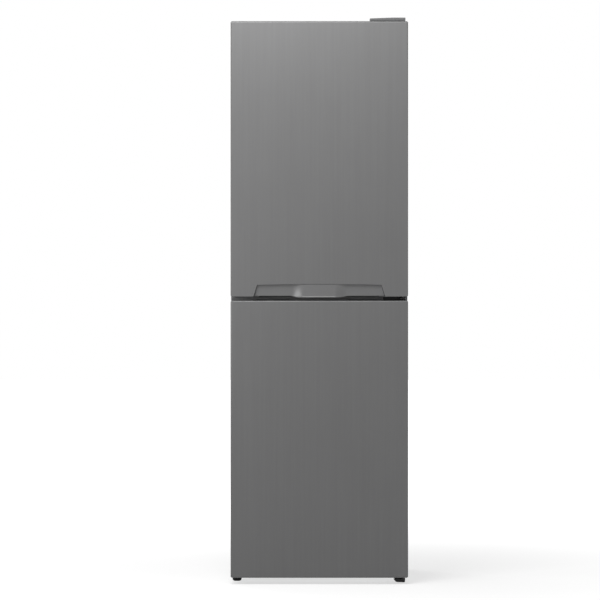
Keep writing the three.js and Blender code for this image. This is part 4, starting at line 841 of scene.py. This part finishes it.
# %% [markdown]
# ## Door seals
#
# A seal is an extruded vinyl bellows: a foot that clips to the door's panel, a fold on each side that lets
# it stretch, and a flat chamber with the magnet strip. The same section runs all round, so each point of
# it draws a rounded rectangle, and the points together give a closed loop of rings.

# %% Seals
SEAL_INSET, SEAL_WIDTH, SEAL_CORNER = 18.0, 14.0, 20.0
FOLDS = np.array([[3.0, 54.6], [1.0, 54.7], [1.0, 55.5], [1.6, 56.0], [3.2, 56.5], [3.6, 57.0], [3.2, 57.5],
                  [1.2, 58.0], [0.5, 58.6], [0.2, 59.6], [0.0, 60.6], [0.2, 61.4], [0.8, 61.7]])


def seal(foot, height):
    """Each point of the section draws a rounded rectangle, as far in from the door's edge as it lies."""
    section = np.concatenate([FOLDS, (FOLDS * [-1, 1] + [SEAL_WIDTH, 0])[::-1]])
    rings = []
    for across, depth in section:
        edge = SEAL_INSET + across
        flat = round_rectangle(edge - HALF, HALF - edge, foot + edge, foot + height - edge, SEAL_CORNER - across)
        rings.append(np.c_[flat[:, 0], np.full(len(flat), FRONT + depth), flat[:, 1]])
    return loop_skin(rings)


for (foot, height), body in ((UPPER, "fridge_door"), (LOWER, "freezer_door")):
    make(f"{body}_seal", [seal(foot, height)], body, "gray_rubber", (f"{body}_gasket",), 50)

# %% [markdown]
# ## Condenser
#
# The black grid on the back gives off the heat: one long tube, bent to and fro twenty times, with steel
# wires spot-welded across it on both sides. The tube is a circle carried along a path of rounded corners,
# coming out of the panel at the top and running forwards to the compressor at the foot. The wires are two
# arrays of straight rods, and four bent straps hold the whole clear of the panel. Wires come in dozens and
# are hardly wider than a millimetre, so each has only six sides, and all are worked out at once.

# %% Condenser
GRID_Y, GRID_HALF, GRID_TUBE, GRID_BEND = 296.2, 205.0, 2.4, 19.5
GRID_RUNS, GRID_WIRES, GRID_WIRE = 20, 32, 0.7
STRAP_X, STRAP_Z, STRAP_HALF = 179.0, (422.0, 1408.0), 7.0
PANEL_Y = 272.45  # the rear panel's face, where the straps stand


def serpentine(half, y, z):
    """The ends of runs across X that go to and fro, one run for each place (y, z)."""
    y, z = np.broadcast_arrays(y, z)
    side = np.resize([-half, half], len(y))
    return np.stack([np.c_[side, y, z], np.c_[-side, y, z]], 1).reshape(-1, 3)


runs = serpentine(GRID_HALF, GRID_Y, np.linspace(1490, 340, GRID_RUNS))
head = [(-150, 271.8, 1530), (-150, GRID_Y, 1530), (-GRID_HALF, GRID_Y, 1530)]
tail = [(-GRID_HALF, GRID_Y, 220), (-175, 206.5, 220), (-175, 206.5, 110), (-140, 206.5, 110)]
grid = [tube(rounded(np.concatenate([head, runs, tail]), GRID_BEND), GRID_TUBE, 10)]

wire_x = np.linspace(-190, 190, GRID_WIRES)
for side in (-1, 1):
    wire_y = np.full(GRID_WIRES, GRID_Y + side * (GRID_TUBE + 0.5))
    ends = np.c_[wire_x, wire_y, np.full(GRID_WIRES, 318.0)]
    grid.append(rods(ends, ends + [0, 0, 1194], GRID_WIRE))

strap_screws = []
for z in STRAP_Z:
    for x in (-STRAP_X, STRAP_X):
        way = [(PANEL_Y, z - 14), (PANEL_Y, z + 2), (291.8, z + 9), (291.8, z + 75)]
        grid.append(pushed(bent_strip(way, 1.5, 2), "x", x - STRAP_HALF, x + STRAP_HALF))
        strap_screws.append((x, 273.1, z - 7))
make("condenser_grid", grid, "cabinet", "black_steel", ("condenser",))

# %% [markdown]
# ## Cold shelves of the freezer
#
# Each freezer drawer slides under a shelf that is itself the evaporator: a white coated tube in nine runs
# with wires welded across its top. It is made like the condenser, lying down.

# %% Cold shelves
COIL_HALF, COIL_FRONT, COIL_BACK, COIL_TUBE, COIL_BEND = 206.5, -187.0, 175.0, 4.0, 18
COIL_END, COIL_OVER = 30, 14  # the last run stops short by the one, and the wires stick out by the other
COIL_RUNS, COIL_WIRES, COIL_WIRE = 9, 26, 0.9

for k, z in enumerate((314.3, 488.3, 662.3), start=1):
    runs = serpentine(COIL_HALF, np.linspace(COIL_FRONT, COIL_BACK, COIL_RUNS), z)
    runs[-1, 0] = COIL_HALF - COIL_END
    coil = tube(rounded([*runs, (COIL_HALF - COIL_END, 204, z)], COIL_BEND), COIL_TUBE, 12)
    wire_x, wire_z = np.linspace(-190, 190, COIL_WIRES), z + COIL_TUBE + 0.7
    ends = np.c_[wire_x, np.full(COIL_WIRES, COIL_FRONT - COIL_OVER), np.full(COIL_WIRES, wire_z)]
    wires = rods(ends, ends + [0, COIL_BACK - COIL_FRONT + 2 * COIL_OVER, 0], COIL_WIRE)
    make(f"cold_shelf_{k}", [coil, wires], "cabinet", "white_steel", (f"evaporator_shelf_{k}",))

# %% [markdown]
# ## Compressor and its pipes
#
# The compressor is a sealed can of two deep-drawn oval halves, lapped and welded at the middle, on a
# pressed plate with four rubber mounts. An oval ring carried upwards, wider or narrower at each level,
# gives the can; quarter sines make its domes. The copper stubs, the suction pipe and the filter drier are
# a tube along a path and a turned profile.

# %% Compressor
CAN_X, CAN_Y, CAN_HALF, CAN_DEEP = -30.0, 184.0, 96.0, 68.0
turn = np.linspace(0, np.pi / 2, 9)
bottom = np.c_[0.55 + 0.40 * np.sin(turn), 58 + 26 * (1 - np.cos(turn))]
seam = [(0.955, 128.5), (0.965, 129.6), (0.995, 130.2), (1.0, 131.0), (1.0, 134.2), (0.99, 135.2), (0.955, 135.8)]
dome = np.c_[0.30 + 0.65 * np.cos(turn), 156 + 30 * np.sin(turn)]
width, level = np.concatenate([bottom, seam, dome]).T[..., None]
a = turns(64)
can = skin(about("z", CAN_X + CAN_HALF * np.cos(a) * width, CAN_Y + CAN_DEEP * np.sin(a) * width, level))
base = pushed(round_rectangle(CAN_X - 108, CAN_X + 108, CAN_Y - 58, CAN_Y + 58, 14), "z", 54, 57)
bridge = block((CAN_X - 48, CAN_Y - 30, 55.5), (CAN_X + 48, CAN_Y + 30, 62), 2)
make("compressor_can", [can, base, bridge], "cabinet", "black_steel", ("compressor",), 30)

stack = [(0, 42.3), (9, 42.3), (9, 46.5), (7, 48.5), (7, 51), (8.4, 52), (8.4, 59), (6, 60.5), (0, 60.5)]
mount = turned(rounded(stack, 0.7, 4), (0, 0, 0), sides=24)
places = [(CAN_X + x, CAN_Y + y, 0) for x in (-94, 94) for y in (-44, 44)]
make("compressor_mounts", [repeated(mount, places)], "cabinet", "black_plastic", ("compressor",))

# %% Pipes
stubs = [
    tube([(-58.8, 222, 114), (-58.8, 268, 114)], 3, 14),
    tube(rounded([(-1.2, 222, 154), (-1.2, 262, 154), (-1.2, 262, 188)], 9), 4, 16),
    tube([(-95, 206.5, 110), (-126, 206.5, 110), (-128, 206.5, 110), (-139.7, 206.5, 110)], [3, 3, 3.4, 3.4], 14),
]
make("compressor_stubs", stubs, "cabinet", "copper", ("compressor",))

path = rounded([(-1.2, 262, 188.3), (-1.2, 262, 200.3), (94.8, 262, 214.3), (94.8, 262, 258.9)], 8)
sleeve = tube([(-1.2, 262, 188.3), (-1.2, 262, 193)], 4.6, 16)
make("suction_line", [tube(path, 4, 16), sleeve], "cabinet", "copper", ("suction_pipe",))

cartridge = [(0, 86), (3, 86), (3, 103), (9, 114), (9, 194), (3, 206), (2, 214), (2, 258.9), (0, 258.9)]
drier = turned(rounded(cartridge, 1.2, 4), (150, 236, 0), sides=28)
make("drier_cartridge", [drier], "cabinet", "copper", ("filter_drier",))

# The capillary: three turns beside the cartridge, then up along the suction line.
spin = np.linspace(0, 6.5 * np.pi, 79)
coils = np.c_[128 + 22 * np.cos(spin), 236 + 22 * np.sin(spin), 76 - 0.8 * spin]
rise = rounded([coils[-1], (128, 258, 92), (119, 259, 200), (101, 262, 232), (101, 262, 258.9)], 12)[1:]
capillary = tube([(150, 236, 96), (150, 236, 84), *coils, *rise], 1.0, 8)
make("capillary_tube", [capillary], "cabinet", "copper")

# %% [markdown]
# ## Glass shelves
#
# Shelf glass has ground edges with a small radius, where it looks darkest. Each pane is a block whose
# corner points are a small box's corners plus a radius in every direction. Its faces are shaded flat:
# normals smoothed across the edges would bend light in the middle of the pane as well and turn it dark.

# %% Glass panes
for name in ("glass_shelf_1", "glass_shelf_2", "glass_shelf_3", "crisper_cover"):
    low, high = np.array(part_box(name)) / MM
    make(f"{name}_pane", [block(low, high, 1.2)], "cabinet", "shelf_glass", (name,), 10)

# %% [markdown]
# ## Dial, lamp cover and button
#
# The thermostat's dial hangs under the lamp housing: a fluted disc with a raised bar to turn it by. Ticks
# round it are moulded on the housing. The lamp's cover is drawn with fine prisms along its underside,
# which spread the light, and the button beside it is pushed in by the door.

# %% Dial and its ticks
DIAL = (-62.0, -150.0, 1643.0)
disc = [(0, -0.6), (17.4, -0.6), (18, -1.4), (18, -9.4), (16.6, -11), (9, -11.4), (0, -11.4)]
dial = turned(rounded(disc, 0.5, 4), DIAL, sides=96, flutes=24, depth=0.7)
shaft = turned([(4, -1), (4, 11.5)], DIAL, sides=20)
bar = block(np.add(DIAL, (-3.2, -16, -17)), np.add(DIAL, (3.2, 14, -10)), 2.2, 4)
make("dial", [dial, shaft, bar], "knob", "white_plastic", ("thermostat_knob",), 40)

a = np.radians(np.linspace(-225, 45, 10))
inner, outer = (about("z", r * np.cos(a), r * np.sin(a), -0.05) + DIAL for r in (20.5, 25.5))
make("dial_ticks", [rods(inner, outer, 0.45, 8)], "cabinet", "gray_plastic")


# %% Lamp cover and button
COVER_LEFT, COVER_RIGHT, PRISM = -11.7, 91.7, 6.0
COVER_SIDE = [(-190.7, 1662.5), (-190.7, 1641), (-182.7, 1636), (-107.3, 1636), (-99.3, 1641), (-99.3, 1662.5)]


def lamp_cover():
    """The cover's side view at every place across, its lower points raised and lowered by a small triangle wave."""
    x = np.linspace(COVER_LEFT, COVER_RIGHT, 139)[:, None]
    y, z = rounded(COVER_SIDE, 2.0, 4).T
    wave = np.abs(((x - COVER_LEFT) / PRISM) % 1 - 0.5) * 1.4
    under = np.clip((1642 - z) / 6, 0, 1)
    return skin(about("z", x, y, z + wave * under))


make("lamp_cover", [lamp_cover()], "cabinet", "frost_plastic", ("lamp_lens",), 20)
plunger = turned(rounded([(0, -214.7), (4, -214.7), (4, -191.2), (0, -191.2)], 0.9, 4), (80, 0, 1657), "y", 24)
make("light_plunger", [plunger], "button", "white_plastic", ("light_button",))

# %% [markdown]
# ## Feet and rollers
#
# The front stands on two levelling feet: a knurled foot moulded on a threaded stud. The thread is one
# surface: its radius falls and rises with height and angle together, so that the ridge climbs one pitch
# in a turn. At the back are two rollers with a treaded rim, a section carried round the axle.

# %% Feet
def thread(radius, pitch, depth, low, high, centre):
    """Radius less a triangle wave of (height / pitch - angle / full turn), on a grid of heights and angles."""
    z = np.arange(low, high, pitch / 6)[:, None]
    a = turns(24)
    reach = radius - depth * np.abs(((z / pitch - a / (2 * np.pi)) % 1) * 2 - 1)
    return skin(about("z", reach * np.cos(a), reach * np.sin(a), z) + centre)


foot = rounded([(0, 0), (9, 0), (12.5, 2), (14, 5), (14, 9), (12, 11.5), (4, 12), (0, 12)], 0.6, 4)
for name, centre in {"left": (-255, -168, 0), "right": (247.5, -205, 0)}.items():
    parts = [turned(foot, centre, sides=96, flutes=24, depth=0.9), thread(4, 1.25, 0.6, 11, 54, centre)]
    make(f"levelling_foot_{name}", parts, f"foot_{name}", "black_plastic", (f"front_foot_{name}",))


# %% Rollers
def wheel(section, centre, sides, flutes, depth):
    """A closed section of (radius, place along the axle) carried round X; flutes press the rim in."""
    r, x = np.asarray(section, float).T
    a = turns(sides)[:, None]
    reach = r - depth * 0.5 * (1 - np.cos(flutes * a)) * (r > 0.97 * r.max())
    return loop_skin(about("x", reach * np.cos(a), reach * np.sin(a), x) + centre)


half = [(13.6, 0), (13.6, 8.8), (12.6, 10), (10.6, 10), (9.8, 8), (6.8, 8), (5.8, 10), (3.5, 10)]
section = half + [(r, -x) for r, x in half[:0:-1]]
for name, x in {"left": -240.5, "right": 240.5}.items():
    rim = wheel(section, (x, 234, 13.649), 112, 28, 0.6)
    make(f"rear_roller_{name}", [rim], f"wheel_{name}", "black_plastic", (f"roller_{name}",))

# %% [markdown]
# ## Small fittings
#
# Drawer fronts carry two shallow ribs, which stiffen the plate and are less than a millimetre high,
# because the shut door is close in front of them. The rear panel and the condenser's straps are held by
# screws with a cross recess.

# %% Ribs
ribs = [(f"drawer_ribs_{k}", f"drawer_{k}", "frost_plastic", -207.8, z)
        for k, z in enumerate((155, 378.6, 552.6, 726.6), start=1)]
for name, body, slot, front, z in [*ribs, ("crisper_ribs", "crisper", "clear_plastic", -117.8, 985)]:
    pair = [block((-160, front, low), (160, front + 1.6, low + 5), 0.75) for low in (z, z + 16)]
    make(name, pair, body, slot)


# %% Screws
def screw_head(radius, height):
    """A domed head whose inner rings are drawn in four times a turn, which makes the cross recess."""
    scale = np.array([1.0, 1.0, 0.93, 0.76, 0.6, 0.56, 0.4])[:, None]
    level = np.array([-0.15, 0.35, 0.7, 0.93, 1.0, 0.98, 0.35])[:, None]
    star = np.array([0, 0, 0, 0, 1, 1, 1])[:, None]
    a = turns(24)
    reach = radius * scale * (1 - 0.55 * star * (0.5 - 0.5 * np.cos(4 * a)))
    return skin(about("y", reach * np.cos(a), reach * np.sin(a), height * level))


panel_low, panel_high = np.array(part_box("rear_panel")) / MM
edge_screws = [(x, 270.9, z) for z in (panel_low[2] + 10, panel_high[2] - 10) for x in (-250, -85, 85, 250)]
side_screws = [(x, 270.9, z) for x in (-255, 255) for z in (620, 980, 1340)]
heads = repeated(screw_head(4.2, 2.2), [*edge_screws, *side_screws, *strap_screws])
make("rear_screws", [heads], "cabinet", "zinc_steel", (), 50)
